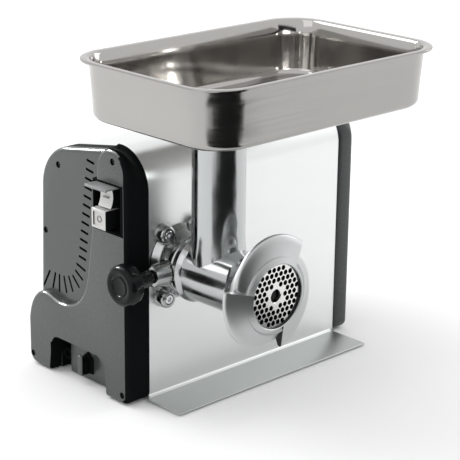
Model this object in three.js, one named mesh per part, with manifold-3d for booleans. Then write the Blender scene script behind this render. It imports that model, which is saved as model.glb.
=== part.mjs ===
// Electric meat grinder: a steel-wrapped drive unit between two plastic end covers, with a clamped stainless
// grinder head, a three-winged ring nut and a lift-off tray. Millimetres, +Z up, the head points along -Y.
import * as THREE from "three";
import { mergeVertices } from "three/addons/utils/BufferGeometryUtils.js";
import Module from "manifold-3d";

const wasm = await Module();
wasm.setup();

// ---------------------------------------------------------------- driving dimensions
const GAP = 0.35; // between pieces that touch
const WIDTH = 270; // steel wrapper, along X
const SHEET = 1.2;
const LEFT = 29; // left cover's thickness
const VENT = 20; // left cover's thickness at the vent panel
const RIGHT = 22; // right cover's thickness
const DEPTH = 148; // wrapper, along Y
const HEIGHT = 255; // wrapper's highest line
const PROUD = 2; // the covers stand proud of the front panel by this
const FOOT = 1.5; // rubber under the covers' feet
const BOOT_BACK = 158;
const FLANGE = 52; // drip flange in front of the panel
const FLANGE_Z = [1.2, 3.2];
const HEAD_X = 40; // axis of the grinder head
const HEAD_Z = 138.5;
const NECK = 26; // neck hub, in front of the panel
const BARREL_R = 31;
const PLATE_R = 35; // size 12 plate
const PLATE_Y = -136; // plate's front face
const PLATE_THICK = 6;
const THROAT_Y = -57;
const THROAT_R = 26;
const TRAY = { left: -64, right: 248, front: -161, back: 47, rim: 352, depth: 59, lip: 7 };
const KNOB_Y = -19;
const TRAY_WALL = 1.2;

// gear train: module and teeth of the two stages, all axes along Y
const STAGE_1 = { module: 1.5, pinion: 14, wheel: 48, y0: 27, y1: 35 };
const STAGE_2 = { module: 1.75, pinion: 14, wheel: 40, y0: 11, y1: 24 };
const centreDistance = (s) => (s.module * (s.pinion + s.wheel)) / 2;
const IDLER_X = HEAD_X + centreDistance(STAGE_2);
const MOTOR_X = IDLER_X + centreDistance(STAGE_1);
const CASE = { front: 1.6, floor: 9.5, rim: 40, wall: 2.6, x0: 0.4, x1: 154, half: 48 };

// the origin is under the middle of the bounding box
const CENTRE_X = (TRAY.left + WIDTH + RIGHT) / 2;
const CENTRE_Y = (TRAY.front + BOOT_BACK) / 2;

// ---------------------------------------------------------------- materials
const finish = (color, roughness, metalness = 0) =>
  new THREE.MeshStandardMaterial({ color, roughness, metalness });
const satinSteel = finish(0xdcdedf, 0.4, 1);
const polished = finish(0xc9cccc, 0.18, 1);
const castMetal = finish(0xb4b8b8, 0.35, 1);
const greyPlastic = finish(0x5d6362, 0.55);
const blackPlastic = finish(0x14181a, 0.3);
const lightPlastic = finish(0xdadada, 0.45);
const rubber = finish(0x1b1b1b, 0.9);
const gearSteel = finish(0x8d9194, 0.35, 1);
const copper = finish(0xa5612f, 0.4, 1);
const blackIron = finish(0x3a3d40, 0.6, 1);

// ---------------------------------------------------------------- solids
// A closed geometry as a solid, turned right side out if its profile ran the other way.
function solid(geometry) {
  const g = geometry.clone();
  g.deleteAttribute("normal");
  g.deleteAttribute("uv");
  const welded = mergeVertices(g, 1e-4);
  const corners = [];
  const index = welded.index.array;
  for (let i = 0; i < index.length; i += 3) {
    const [a, b, c] = index.slice(i, i + 3);
    if (a !== b && b !== c && a !== c) corners.push(a, b, c);
  }
  const make = (triVerts) =>
    new wasm.Manifold(
      new wasm.Mesh({ numProp: 3, vertProperties: welded.attributes.position.array, triVerts }),
    );
  const made = make(new Uint32Array(corners));
  return made.volume() > 0 ? made : make(new Uint32Array(corners.reverse()));
}

const join = (...parts) => parts.reduce((a, b) => a.add(b));
const cut = (body, ...tools) => tools.reduce((a, b) => a.subtract(b), body);

function block([x0, x1], [y0, y1], [z0, z1]) {
  const g = new THREE.BoxGeometry(x1 - x0, y1 - y0, z1 - z0);
  return solid(g.translate((x0 + x1) / 2, (y0 + y1) / 2, (z0 + z1) / 2));
}

// Round pieces: "at" is a point of the axis, given by the two other coordinates.
function rodX([x0, x1], [y, z], r, sides = 16, r1 = r) {
  const g = new THREE.CylinderGeometry(r1, r, x1 - x0, sides);
  return solid(g.rotateZ(-Math.PI / 2).translate((x0 + x1) / 2, y, z));
}
function rodY([y0, y1], [x, z], r, sides = 16, r1 = r) {
  const g = new THREE.CylinderGeometry(r1, r, y1 - y0, sides);
  return solid(g.translate(x, (y0 + y1) / 2, z));
}
function rodZ([z0, z1], [x, y], r, sides = 16, r1 = r) {
  const g = new THREE.CylinderGeometry(r1, r, z1 - z0, sides);
  return solid(g.rotateX(Math.PI / 2).translate(x, y, (z0 + z1) / 2));
}

// A profile of [radius, y] turned about an axis along Y.
function turnedY(profile, [x, z], sides = 32) {
  const points = profile.map(([r, y]) => new THREE.Vector2(r, y));
  return solid(new THREE.LatheGeometry(points, sides).translate(x, 0, z));
}
function turnedX(profile, [y, z], sides = 24) {
  const points = profile.map(([r, x]) => new THREE.Vector2(r, x));
  return solid(new THREE.LatheGeometry(points, sides).rotateZ(-Math.PI / 2).translate(0, y, z));
}

// Outlines: "sideways" ones are drawn in (Y, Z) and run along X, "facing" ones in (X, Z) and run along Y.
function sideways(shape, [x0, x1], curveSegments = 8) {
  const g = new THREE.ExtrudeGeometry(shape, { depth: x1 - x0, bevelEnabled: false, curveSegments });
  const turn = new THREE.Matrix4().set(0, 0, 1, x0, 1, 0, 0, 0, 0, 1, 0, 0, 0, 0, 0, 1);
  return solid(g.applyMatrix4(turn));
}
function facing(shape, [y0, y1], curveSegments = 8) {
  const g = new THREE.ExtrudeGeometry(shape, { depth: y1 - y0, bevelEnabled: false, curveSegments });
  return solid(g.rotateX(Math.PI / 2).translate(0, y1, 0));
}
function flat(shape, [z0, z1], curveSegments = 8) {
  const g = new THREE.ExtrudeGeometry(shape, { depth: z1 - z0, bevelEnabled: false, curveSegments });
  return solid(g.translate(0, 0, z0));
}

const rounded = ([x0, x1], [y0, y1], r) => {
  const s = new THREE.Shape();
  s.absarc(x0 + r, y0 + r, r, Math.PI, 1.5 * Math.PI);
  s.absarc(x1 - r, y0 + r, r, -0.5 * Math.PI, 0);
  s.absarc(x1 - r, y1 - r, r, 0, 0.5 * Math.PI);
  s.absarc(x0 + r, y1 - r, r, 0.5 * Math.PI, Math.PI);
  return s;
};

const group = new THREE.Group();
group.position.set(-CENTRE_X, -CENTRE_Y, 0);

function piece(name, body, material) {
  const { vertProperties, triVerts } = body.getMesh();
  const g = new THREE.BufferGeometry();
  g.setAttribute("position", new THREE.BufferAttribute(vertProperties, 3));
  g.setIndex(new THREE.BufferAttribute(triVerts, 1));
  g.computeVertexNormals();
  const mesh = new THREE.Mesh(g, material);
  mesh.name = name;
  group.add(mesh);
}

// ---------------------------------------------------------------- housing
// Side view of the body: upright front, rounded front and back corners, a top that falls 10 mm to the back.
function bodyOutline(inset = 0, bottom = 3) {
  const s = new THREE.Shape();
  const front = 38 - inset;
  const rear = 48 - inset;
  const fall = 0.13;
  s.moveTo(DEPTH - inset, bottom);
  s.lineTo(DEPTH - 6 - inset, 196);
  s.absarc(DEPTH - 54, HEIGHT - 58, rear, 0.05, Math.PI / 2 - fall);
  s.absarc(38, HEIGHT - 38, front, Math.PI / 2 - fall, Math.PI);
  s.lineTo(inset, bottom);
  s.closePath();
  return s;
}

function steelWrapper() {
  const shell = cut(
    sideways(bodyOutline(), [0, WIDTH]),
    sideways(bodyOutline(SHEET, 0), [-1, WIDTH + 1]),
    rodY([-1, SHEET + 1], [HEAD_X, HEAD_Z], 25, 24),
  );
  const holes = hubScrewPlaces().map((at) => rodY([-1, SHEET + 1], at, 3.6, 10));
  const flange = join(
    block([-5, WIDTH - 4], [-FLANGE, -PROUD - 0.5], FLANGE_Z),
    block([0, WIDTH - 4], [-PROUD - 1, SHEET], FLANGE_Z),
  );
  return cut(join(shell, flange), ...holes);
}

function basePlate() {
  const pan = block([GAP, WIDTH - GAP], [SHEET + GAP, DEPTH - SHEET - 1], [5, 7]);
  const slots = [70, 90, 110, 130, 150, 170, 190, 210].map((x) => block([x, x + 6], [40, 110], [4, 8]));
  return cut(pan, ...slots);
}

// Raised part of the left cover: a round-topped column along the front that widens into a boot with two feet.
function bootOutline() {
  const s = new THREE.Shape();
  s.moveTo(26, FOOT);
  s.lineTo(2, FOOT);
  s.absarc(2, FOOT + 4, 4, -Math.PI / 2, Math.PI, true);
  s.lineTo(-PROUD, 238);
  s.absarc(20.5, 238, 22.5, Math.PI, 0, true);
  s.lineTo(52, 172);
  s.lineTo(60, 120);
  s.bezierCurveTo(66, 90, 88, 80, 106, 81);
  s.bezierCurveTo(118, 82, 126, 89, 137, 85);
  s.bezierCurveTo(150, 80, BOOT_BACK - 2, 66, BOOT_BACK, 50);
  s.lineTo(BOOT_BACK, 14);
  s.absarc(BOOT_BACK - 12, FOOT + 12, 12, 0, -Math.PI / 2, true);
  s.lineTo(125, FOOT);
  s.closePath();
  return s;
}
// Arch between the feet.
function archOutline() {
  const s = new THREE.Shape();
  s.moveTo(31, 0);
  s.lineTo(124, 0);
  s.lineTo(120, 30);
  s.bezierCurveTo(119, 40, 112, 42, 106, 42);
  s.lineTo(48, 42);
  s.bezierCurveTo(38, 40, 33, 33, 32.5, 24);
  s.closePath();
  return s;
}

const leftScrews = [
  { at: [17.5, 249], face: LEFT },
  { at: [6.5, 10.5], face: LEFT },
  { at: [151, 12], face: LEFT },
  { at: [113, 224], face: VENT },
  { at: [136, 150], face: VENT },
];
const SWITCH = { y: [5, 49], z: [176, 227] };

// Slots of the vent panel: a leaning row beside the column, then a fan along the boot's shoulder. Each slot of
// the fan is [y, z of its middle, length, lean from level in degrees].
const VENT_FAN = [
  [79.5, 124.1, 15.8, 17.6],
  [82.8, 114.9, 15, 33],
  [88.1, 106.7, 15.8, 44.7],
  [96.6, 101.8, 17.6, 66.6],
  [105.6, 98.6, 18.8, 76.8],
  [115.2, 97.5, 20, 92],
  [123.8, 98.2, 19.6, 105.3],
  [136, 97.6, 23, 119.8],
];
const VENT_ROW = { count: 12, y: 61.8, z: 238, stepY: 1.37, stepZ: -9.4, length: 12.4, lean: 9 };
const VENT_SLOT = 2.6;
function ventSlots() {
  const slot = (y, z, length, lean) => {
    const tool = block([-VENT - 2, -VENT + 5], [-length / 2, length / 2], [-VENT_SLOT / 2, VENT_SLOT / 2]);
    return tool.rotate([lean, 0, 0]).translate([0, y, z]);
  };
  const row = Array.from({ length: VENT_ROW.count }, (_, i) =>
    slot(VENT_ROW.y + i * VENT_ROW.stepY, VENT_ROW.z + i * VENT_ROW.stepZ, VENT_ROW.length, VENT_ROW.lean),
  );
  return [...row, ...VENT_FAN.map((place) => slot(...place))];
}

function leftCover() {
  const outer = join(sideways(bodyOutline(), [-VENT, -GAP]), sideways(bootOutline(), [-LEFT, -GAP]));
  const ventRoom = sideways(bodyOutline(3, 48), [-VENT + 2.8, 1]);
  const columnRoom = sideways(rounded([2, 42], [66, 236], 4), [-LEFT + 2.8, 1]);
  const bootRoom = sideways(rounded([4, BOOT_BACK - 4], [47, 74], 4), [-LEFT + 2.8, 1]);
  const bosses = leftScrews.map(({ at, face }) => rodX([-face + 1, -GAP], at, 5.5, 8));
  const drills = leftScrews.map(({ at, face }) =>
    join(rodX([-face - 1, -face + 4], at, 3.4, 10), rodX([-face - 1, 1], at, 1.9, 6)),
  );
  const arch = sideways(archOutline(), [-LEFT - 1, -14]);
  const passage = block([-LEFT - 1, -4], [106, 121], [0, 34]);
  const switchWay = block([-LEFT - 1, 1], SWITCH.y, SWITCH.z);
  const glandWay = rodX([-5, 1], [113.5, 18], 6.4, 12);
  const body = join(cut(outer, ventRoom, columnRoom, bootRoom), ...bosses);
  return cut(body, ...drills, ...ventSlots(), arch, passage, switchWay, glandWay, ...footPockets());
}

const rightScrews = [
  { at: [17.5, 240] },
  { at: [6.5, 12] },
  { at: [138, 12] },
  { at: [118, 222] },
];
function rightCover() {
  const x = WIDTH + GAP;
  const outer = sideways(bodyOutline(-PROUD, FOOT), [x, WIDTH + RIGHT]);
  const room = sideways(bodyOutline(3, 30), [WIDTH - 1, WIDTH + RIGHT - 2.8]);
  const bosses = rightScrews.map(({ at }) => rodX([x, WIDTH + RIGHT - 1], at, 5.5, 8));
  const drills = rightScrews.map(({ at }) =>
    join(rodX([WIDTH + RIGHT - 4, WIDTH + RIGHT + 1], at, 3.4, 10), rodX([WIDTH - 1, WIDTH + 99], at, 1.9, 6)),
  );
  const slots = [];
  for (let i = 0; i < 12; i++) {
    slots.push(block([WIDTH + 15, WIDTH + 30], [45, 105], [196 - 9 * i, 198.6 - 9 * i]));
  }
  return cut(join(cut(outer, room), ...bosses), ...drills, ...slots, ...footPockets());
}

// Countersunk cover screw: flat head in its recess, shank in the boss; "towards" is the way it is driven.
function coverScrew(headX, at, towards) {
  const span = (from, to) => (towards > 0 ? [from, to] : [-to, -from]).map((d) => headX + d);
  const head = rodX(span(0, 2), at, 2.9, 10);
  const shank = rodX(span(1, 14), at, 1.4, 6);
  const slot = block(span(-1, 0.8), [at[0] - 2.2, at[0] + 2.2], [at[1] - 0.5, at[1] + 0.5]);
  return cut(join(head, shank), slot);
}

const footPlaces = [
  [-LEFT / 2, 14],
  [-LEFT / 2, 138],
  [WIDTH + RIGHT / 2, 16],
  [WIDTH + RIGHT / 2, 132],
];
const FOOT_R = 7;
function footPockets() {
  return footPlaces.map((at) => rodZ([-1, 3.2], at, FOOT_R + GAP, 16));
}

function cordHook() {
  const post = block([-26, -14 - GAP], [72, 82], [9, 24]);
  const lip = block([-26, -22], [72, 82], [23, 30]);
  return join(post, lip);
}

function cableGland() {
  const nut = rodX([-13, -4 - GAP], [113.5, 18], 8, 6);
  const thread = rodX([-6, 6], [113.5, 18], 6, 12);
  return cut(join(nut, thread), rodX([-20, 10], [113.5, 18], 3.5, 12));
}

// ---------------------------------------------------------------- switch
const SWITCH_FLOOR = -19; // the buttons' frame, inside the pocket
const START = { y: [18, 37], z: [202, 220.5] };
const STOP = { y: [20, 42], z: [180, 200] };
const grown = ([a, b], d) => [a - d, b + d];

function switchBody() {
  const tub = cut(
    block([-LEFT + 2, -0.5], grown(SWITCH.y, -GAP), grown(SWITCH.z, -GAP)),
    block([-LEFT, SWITCH_FLOOR], grown(SWITCH.y, -2), grown(SWITCH.z, -2)),
  );
  return cut(
    tub,
    block([-LEFT, -6], grown(START.y, GAP), grown(START.z, GAP)),
    block([-LEFT, -6], grown(STOP.y, GAP), grown(STOP.z, GAP)),
  );
}
function switchVisor() {
  const plate = block([-LEFT - 14, SWITCH_FLOOR - GAP], [12, 40], [224.2, 225.6]);
  const root = block([SWITCH_FLOOR - 3, SWITCH_FLOOR - GAP], [12, 40], [222.6, 225]);
  const brow = block([-LEFT - 14, -LEFT - 12], [12, 40], [223.4, 225]);
  return join(plate, root, brow).translate([0, 0, -0.9]);
}
function startButton() {
  const scoop = rodY([0, 60], [-LEFT - 20, 214], 21, 24);
  return cut(block([-LEFT - 3, -12], START.y, START.z), scoop);
}
function stopButton() {
  const frame = block([-LEFT - 8, -LEFT - 6], grown(STOP.y, -3), grown(STOP.z, -3));
  return cut(block([-LEFT - 7, -12], STOP.y, STOP.z), frame);
}

// ---------------------------------------------------------------- drive
// Spur wheel outline with straight-sided root and three points on each involute flank.
function toothed(teeth, module, bore = 0, phase = 0) {
  const pitch = (module * teeth) / 2;
  const base = pitch * Math.cos((20 * Math.PI) / 180);
  const tip = pitch + 0.9 * module;
  const root = pitch - 1.2 * module;
  const inv = (r) => {
    const a = Math.acos(Math.min(1, base / r));
    return Math.tan(a) - a;
  };
  const half = (Math.PI * 0.46) / teeth;
  const width = (r) => half + inv(pitch) - inv(Math.max(r, base));
  const radii = [root, pitch, tip];
  const s = new THREE.Shape();
  for (let i = 0; i < teeth; i++) {
    const mid = (2 * Math.PI * (i + phase)) / teeth;
    const left = radii.map((r) => [r, mid - width(r)]);
    const right = radii.toReversed().map((r) => [r, mid + width(r)]);
    for (const [r, a] of [...left, ...right]) {
      const [x, y] = [r * Math.cos(a), r * Math.sin(a)];
      if (s.curves.length || i || r !== root || a !== left[0][1]) s.lineTo(x, y);
      else s.moveTo(x, y);
    }
  }
  s.closePath();
  if (bore) s.holes.push(new THREE.Path().absarc(0, 0, bore, 0, 2 * Math.PI));
  return s;
}
const wheel = (shape, span, x) => facing(shape, span, 12).translate([x, 0, HEAD_Z]);

function gearCase() {
  const { front, floor, rim, wall, x0, x1, half } = CASE;
  const z = [HEAD_Z - half, HEAD_Z + half];
  const body = facing(rounded([x0, x1], z, 30), [front, rim]);
  const room = facing(rounded([x0 + wall, x1 - wall], grown(z, -wall), 26), [floor, rim + 1]);
  const screwWays = hubScrewPlaces().map((at) => rodY([0, 20], at, 2.9, 8));
  return cut(
    body,
    room,
    rodY([0, 20], [HEAD_X, HEAD_Z], 23 + GAP, 32),
    rodY([floor - 5, 20], [IDLER_X, HEAD_Z], 7 + GAP, 16),
    ...screwWays,
  );
}
function gearCaseLid() {
  const { rim, wall, x0, x1, half } = CASE;
  const z = [HEAD_Z - half, HEAD_Z + half];
  const lid = facing(rounded([x0, x1], z, 30), [rim + GAP, rim + wall + 2]);
  return cut(
    lid,
    rodY([30, 60], [HEAD_X, HEAD_Z], 13 + GAP, 24),
    rodY([rim - 5, rim + wall + 0.8], [IDLER_X, HEAD_Z], 7 + GAP, 12),
    rodY([30, 60], [MOTOR_X, HEAD_Z], 14, 24),
  );
}
const bearing = ([y0, y1], x, bore, outer) =>
  turnedY(
    [
      [bore, y0],
      [outer, y0],
      [outer, y1],
      [bore, y1],
      [bore, y0],
    ],
    [x, HEAD_Z],
    20,
  );

const SOCKET = 7.2; // half the square drive
function outputShaft() {
  const body = turnedY(
    [
      [0, -4],
      [14.6, -4],
      [14.6, 10],
      [10.6, 10],
      [10.6, 26],
      [7.6, 26],
      [7.6, 46],
      [0, 46],
    ],
    [HEAD_X, HEAD_Z],
    28,
  );
  const z = [HEAD_Z - SOCKET, HEAD_Z + SOCKET];
  return cut(body, block([HEAD_X - SOCKET, HEAD_X + SOCKET], [-5, 9], z));
}
function idlerShaft() {
  const { pinion, module, y1 } = STAGE_2;
  const teeth = wheel(toothed(pinion, module, 0, 0.5), [STAGE_2.y0 - 1, y1 + 1], IDLER_X);
  return join(teeth, rodY([5, 43], [IDLER_X, HEAD_Z], 6.8, 12));
}
function rotorShaft() {
  const { pinion, module, y0, y1 } = STAGE_1;
  const teeth = wheel(toothed(pinion, module, 0, 0.5), [y0 - 1, y1 + 2], MOTOR_X);
  return join(teeth, rodY([y1, 134], [MOTOR_X, HEAD_Z], 6.6, 16));
}

const MOTOR = { r: 55, bore: 31.4, y0: 60, y1: 108, bell: 12 };
function stator() {
  const rings = [
    [MOTOR.bore, MOTOR.y0],
    [MOTOR.r, MOTOR.y0],
    [MOTOR.r, MOTOR.y1],
    [MOTOR.bore, MOTOR.y1],
    [MOTOR.bore, MOTOR.y0],
  ];
  const flats = [-1, 1].map((s) =>
    block([MOTOR_X - 18, MOTOR_X + 18], [50, 120], grown([HEAD_Z + s * 55, HEAD_Z + s * 55], 2)),
  );
  return cut(turnedY(rings, [MOTOR_X, HEAD_Z], 32), ...flats);
}
// End bell: cup over the windings with the bearing seat in its middle; "out" points away from the stator.
function endBell(face, out) {
  const y = (d) => face + out * d;
  const cup = turnedY(
    [
      [0, y(MOTOR.bell)],
      [38, y(MOTOR.bell)],
      [52, y(4)],
      [52, y(GAP)],
      [48, y(GAP)],
      [48, y(3)],
      [36, y(MOTOR.bell - 4)],
      [0, y(MOTOR.bell - 4)],
    ],
    [MOTOR_X, HEAD_Z],
    28,
  );
  return cut(cup, rodY([face - 20, face + 20], [MOTOR_X, HEAD_Z], 13 + GAP, 20));
}
function coolingFan() {
  const blades = [];
  for (let i = 0; i < 8; i++) {
    const blade = block([8, 44], [124, 132], [-1, 1]);
    blades.push(blade.rotate([0, i * 45, 0]).translate([MOTOR_X, 0, HEAD_Z]));
  }
  const disc = rodY([122, 124.5], [MOTOR_X, HEAD_Z], 40, 24);
  const hub = rodY([122, 132], [MOTOR_X, HEAD_Z], 12, 16);
  return cut(join(disc, hub, ...blades), rodY([120, 140], [MOTOR_X, HEAD_Z], 6.6 + GAP, 16));
}
function motorCradle() {
  const { r, y0, y1 } = MOTOR;
  const foot = block([MOTOR_X - 48, MOTOR_X + 48], [y0 + 4, y1 - 4], [7 + GAP, 10]);
  const sides = [-1, 1].map((s) => {
    const x = MOTOR_X + s * 34;
    return block([x - 2, x + 2], [y0 + 4, y1 - 4], [9, HEAD_Z - 38]);
  });
  return cut(join(foot, ...sides), rodY([y0, y1], [MOTOR_X, HEAD_Z], r + GAP, 32));
}
const runCapacitor = () => join(
  rodZ([40, 120], [236, 60], 20, 20),
  rodZ([119, 124], [236, 60], 8, 12),
  block([233, 239], [57, 63], [7 + GAP, 41]),
);

// ---------------------------------------------------------------- neck and clamp
function hubScrewPlaces() {
  return [
    [-22, 33],
    [22, 33],
    [-22, -33],
    [22, -33],
  ].map(([dx, dz]) => [HEAD_X + dx, HEAD_Z + dz]);
}
function neckHub() {
  const body = turnedY(
    [
      [0, -NECK],
      [33, -NECK],
      [33, -NECK + 5],
      [31.5, -NECK + 8],
      [33, -8],
      [38, -GAP],
      [0, -GAP],
    ],
    [HEAD_X, HEAD_Z],
    28,
  );
  const ears = hubScrewPlaces().map((at) => rodY([-11, -GAP], at, 9, 12, 10));
  const boss = rodX([-13, HEAD_X - 25], [KNOB_Y + 0.5, HEAD_Z], 10.5, 20, 12);
  const eyes = hubScrewPlaces().map((at) =>
    join(rodY([-30, 1], at, 3.4, 8), rodY([-30, -7], at, 5.6, 10)),
  );
  const socket = rodY([-NECK - 1, 1], [HEAD_X, HEAD_Z], 27 + GAP, 28);
  const headWay = rodY([-60, -NECK], [HEAD_X, HEAD_Z], 35, 28);
  return cut(join(body, ...ears, boss), socket, headWay, rodX([-20, HEAD_X], [KNOB_Y, HEAD_Z], 4.4, 12), ...eyes);
}
function hubScrew([x, z]) {
  const head = rodY([-11.5, -7 - GAP], [x, z], 4.9, 16);
  const shank = rodY([-9, 9], [x, z], 2.5, 8);
  return cut(join(head, shank), rodY([-13, -9.5], [x, z], 2.4, 6));
}

const KNOB = { face: -54.5, back: -37, r: 20.5 };
function clampKnob() {
  const { face, back, r } = KNOB;
  const body = turnedX(
    [
      [0, face + 3],
      [r - 8, face + 3],
      [r - 7, face],
      [r - 4, face],
      [r, face + 5],
      [r, back - 4],
      [r - 3, back],
      [9, back + 2],
      [8.5, -16],
      [0, -16],
    ],
    [KNOB_Y, HEAD_Z],
    28,
  );
  const grips = [];
  for (let i = 0; i < 7; i++) {
    const a = ((i + 0.5) / 7) * 2 * Math.PI;
    const at = [KNOB_Y + 24.5 * Math.cos(a), HEAD_Z + 24.5 * Math.sin(a)];
    grips.push(rodX([face + 7, back + 1], at, 6, 12));
  }
  return cut(body, ...grips, rodX([KNOB.back + 7, 0], [KNOB_Y, HEAD_Z], 4 + GAP, 12));
}
const clampScrew = () => rodX([KNOB.back + 7.5, HEAD_X - 27.6], [KNOB_Y, HEAD_Z], 4, 12);

// ---------------------------------------------------------------- grinder head
const BORE = 26.4;
const PLATE_BACK = PLATE_Y + PLATE_THICK;
const PLATE_SEAT = PLATE_BACK + 8;
const SEAT_R = 38; // outside of the head where the ring nut screws on
function grinderHead() {
  const outside = turnedY(
    [
      [0, -5],
      [27, -5],
      [27, -NECK - GAP],
      [34, -NECK - GAP],
      [34, -33],
      [BARREL_R, -37],
      [BARREL_R, -98],
      [36, -106],
      [SEAT_R, -112],
      [SEAT_R, PLATE_Y + 2],
      [0, PLATE_Y + 2],
    ],
    [HEAD_X, HEAD_Z],
    28,
  );
  const inside = turnedY(
    [
      [0, -19],
      [BORE, -19],
      [BORE, PLATE_SEAT],
      [PLATE_R + GAP, PLATE_SEAT],
      [PLATE_R + GAP, PLATE_Y],
      [0, PLATE_Y],
    ],
    [HEAD_X, HEAD_Z],
    28,
  );
  const throat = rodZ([HEAD_Z, TRAY.rim - TRAY.depth - GAP], [HEAD_X, THROAT_Y], THROAT_R, 28);
  const collar = rodZ([HEAD_Z, HEAD_Z + 34], [HEAD_X, THROAT_Y], THROAT_R + 1.6, 28);
  const way = rodZ([HEAD_Z, TRAY.rim], [HEAD_X, THROAT_Y], THROAT_R - 1.6, 28);
  const journal = rodY([-30, 0], [HEAD_X, HEAD_Z], 11 + GAP, 24);
  const keyWay = block([HEAD_X - 1.9, HEAD_X + 1.9], [PLATE_Y, PLATE_Y + 8], [HEAD_Z + 33, HEAD_Z + 36.9]);
  return cut(join(outside, throat, collar), inside, way, journal, keyWay);
}

// Feed screw: a one-winged section twisted along the barrel, with a square tang behind and a stub in front.
function feedScrew() {
  const from = -21;
  const to = PLATE_BACK + 11;
  const turns = 2.6;
  const section = new THREE.Shape();
  section.absarc(0, 0, 10, 0.75, 2 * Math.PI - 0.75);
  section.absarc(0, 0, BORE - 0.7, -0.2, 0.2);
  section.closePath();
  const g = new THREE.ExtrudeGeometry(section, {
    depth: from - to,
    steps: 34,
    bevelEnabled: false,
    curveSegments: 4,
  });
  const p = g.attributes.position;
  for (let i = 0; i < p.count; i++) {
    const turn = (p.getZ(i) / (from - to)) * turns * 2 * Math.PI;
    const [x, y] = [p.getX(i), p.getY(i)];
    p.setXY(i, x * Math.cos(turn) - y * Math.sin(turn), x * Math.sin(turn) + y * Math.cos(turn));
  }
  const flight = solid(g.rotateX(Math.PI / 2).translate(HEAD_X, from, HEAD_Z));
  const half = SOCKET - GAP;
  const knifeHalf = 4.6;
  return join(
    flight,
    rodY([to, from], [HEAD_X, HEAD_Z], 10.4, 16),
    rodY([-22, -6], [HEAD_X, HEAD_Z], 10.8, 20),
    block([HEAD_X - half, HEAD_X + half], [-7, 8], [HEAD_Z - half, HEAD_Z + half]),
    block([HEAD_X - knifeHalf, HEAD_X + knifeHalf], [PLATE_BACK, to], [HEAD_Z - knifeHalf, HEAD_Z + knifeHalf]),
    rodY([PLATE_Y - 1, PLATE_BACK + 0.2], [HEAD_X, HEAD_Z], 5.2, 12),
  );
}

function knife() {
  const arms = [0, 90].map((turn) =>
    facing(rounded([-24, 24], [-4.5, 4.5], 2), [PLATE_BACK + 0.6, PLATE_BACK + 8], 3).rotate([0, turn, 0]),
  );
  const hub = rodY([PLATE_BACK + 0.6, PLATE_BACK + 9.5], [0, 0], 10, 16);
  const square = block([-4.6 - GAP, 4.6 + GAP], [-200, 0], [-4.6 - GAP, 4.6 + GAP]);
  return cut(join(...arms, hub), square).translate([HEAD_X, 0, HEAD_Z]);
}

// Round plate drilled on a triangular grid between its boss and its rim.
function grindingPlate() {
  const disc = rodY([PLATE_Y, PLATE_BACK], [HEAD_X, HEAD_Z], PLATE_R, 36);
  const pitch = 5.7;
  const drills = [];
  for (let row = -5; row <= 5; row++) {
    for (let i = -6; i <= 6; i++) {
      const x = (i + (row % 2 ? 0.5 : 0)) * pitch;
      const z = row * pitch * 0.866;
      const r = Math.hypot(x, z);
      if (r < 12 || r > 29) continue;
      drills.push(rodY([PLATE_Y - 1, PLATE_BACK + 1], [HEAD_X + x, HEAD_Z + z], 1.95, 5));
    }
  }
  const eye = rodY([PLATE_Y - 1, PLATE_BACK + 1], [HEAD_X, HEAD_Z], 5.2 + GAP, 20);
  const notch = block([HEAD_X - 2, HEAD_X + 2], [PLATE_Y - 1, PLATE_BACK + 1], [HEAD_Z + 32.2, HEAD_Z + 40]);
  return cut(disc, ...drills, eye, notch);
}
const plateKey = () =>
  block([HEAD_X - 1.5, HEAD_X + 1.5], [PLATE_Y + 1, PLATE_Y + 7.6], [HEAD_Z + 32.6, HEAD_Z + 36.5]);
const thrustWasher = () => bearing([-20.6, -19.3], HEAD_X, 11.2, 16).translate([0, -0.1, 0]);

// Ring nut: a lipped ring with three wings on one shallow cone, each edge swelling to a step that the fingers push.
const NUT = { front: PLATE_Y - 3, back: PLATE_Y + 20, opening: 31.5, ring: 43, wingBack: PLATE_Y + 12 };
const WING = { start: 43, end: 60, steps: [45, 285, 165], edge: PLATE_Y + 7 };
function ringNut() {
  const ring = turnedY(
    [
      [0, NUT.back],
      [NUT.ring - 1, NUT.back],
      [NUT.ring, NUT.back - 3],
      [NUT.ring, WING.edge - 4],
      [NUT.opening + 2, NUT.front],
      [0, NUT.front],
    ],
    [HEAD_X, HEAD_Z],
    36,
  );
  const shape = new THREE.Shape();
  for (const step of WING.steps) {
    for (let i = 0; i <= 8; i++) {
      const t = i / 8;
      const a = ((step + 120 * (1 - t)) * Math.PI) / 180;
      const r = WING.start + (WING.end - WING.start) * Math.sqrt(t);
      if (i || step !== WING.steps[0]) shape.lineTo(r * Math.cos(a), r * Math.sin(a));
      else shape.moveTo(r * Math.cos(a), r * Math.sin(a));
    }
  }
  return cut(
    join(ring, wings(shape)),
    rodY([NUT.front - 1, NUT.back + 1], [HEAD_X, HEAD_Z], NUT.opening, 40),
    rodY([PLATE_Y - GAP, NUT.back + 1], [HEAD_X, HEAD_Z], SEAT_R + GAP, 40),
  );
}
function wings(shape) {
  const slab = facing(shape, [NUT.front, NUT.wingBack], 1).translate([HEAD_X, 0, HEAD_Z]);
  const cone = turnedY(
    [
      [0, NUT.wingBack],
      [WING.end + 1, NUT.wingBack],
      [WING.end + 2, WING.edge],
      [NUT.opening + 2, NUT.front],
      [0, NUT.front],
    ],
    [HEAD_X, HEAD_Z],
    36,
  );
  return slab.intersect(cone);
}

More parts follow.
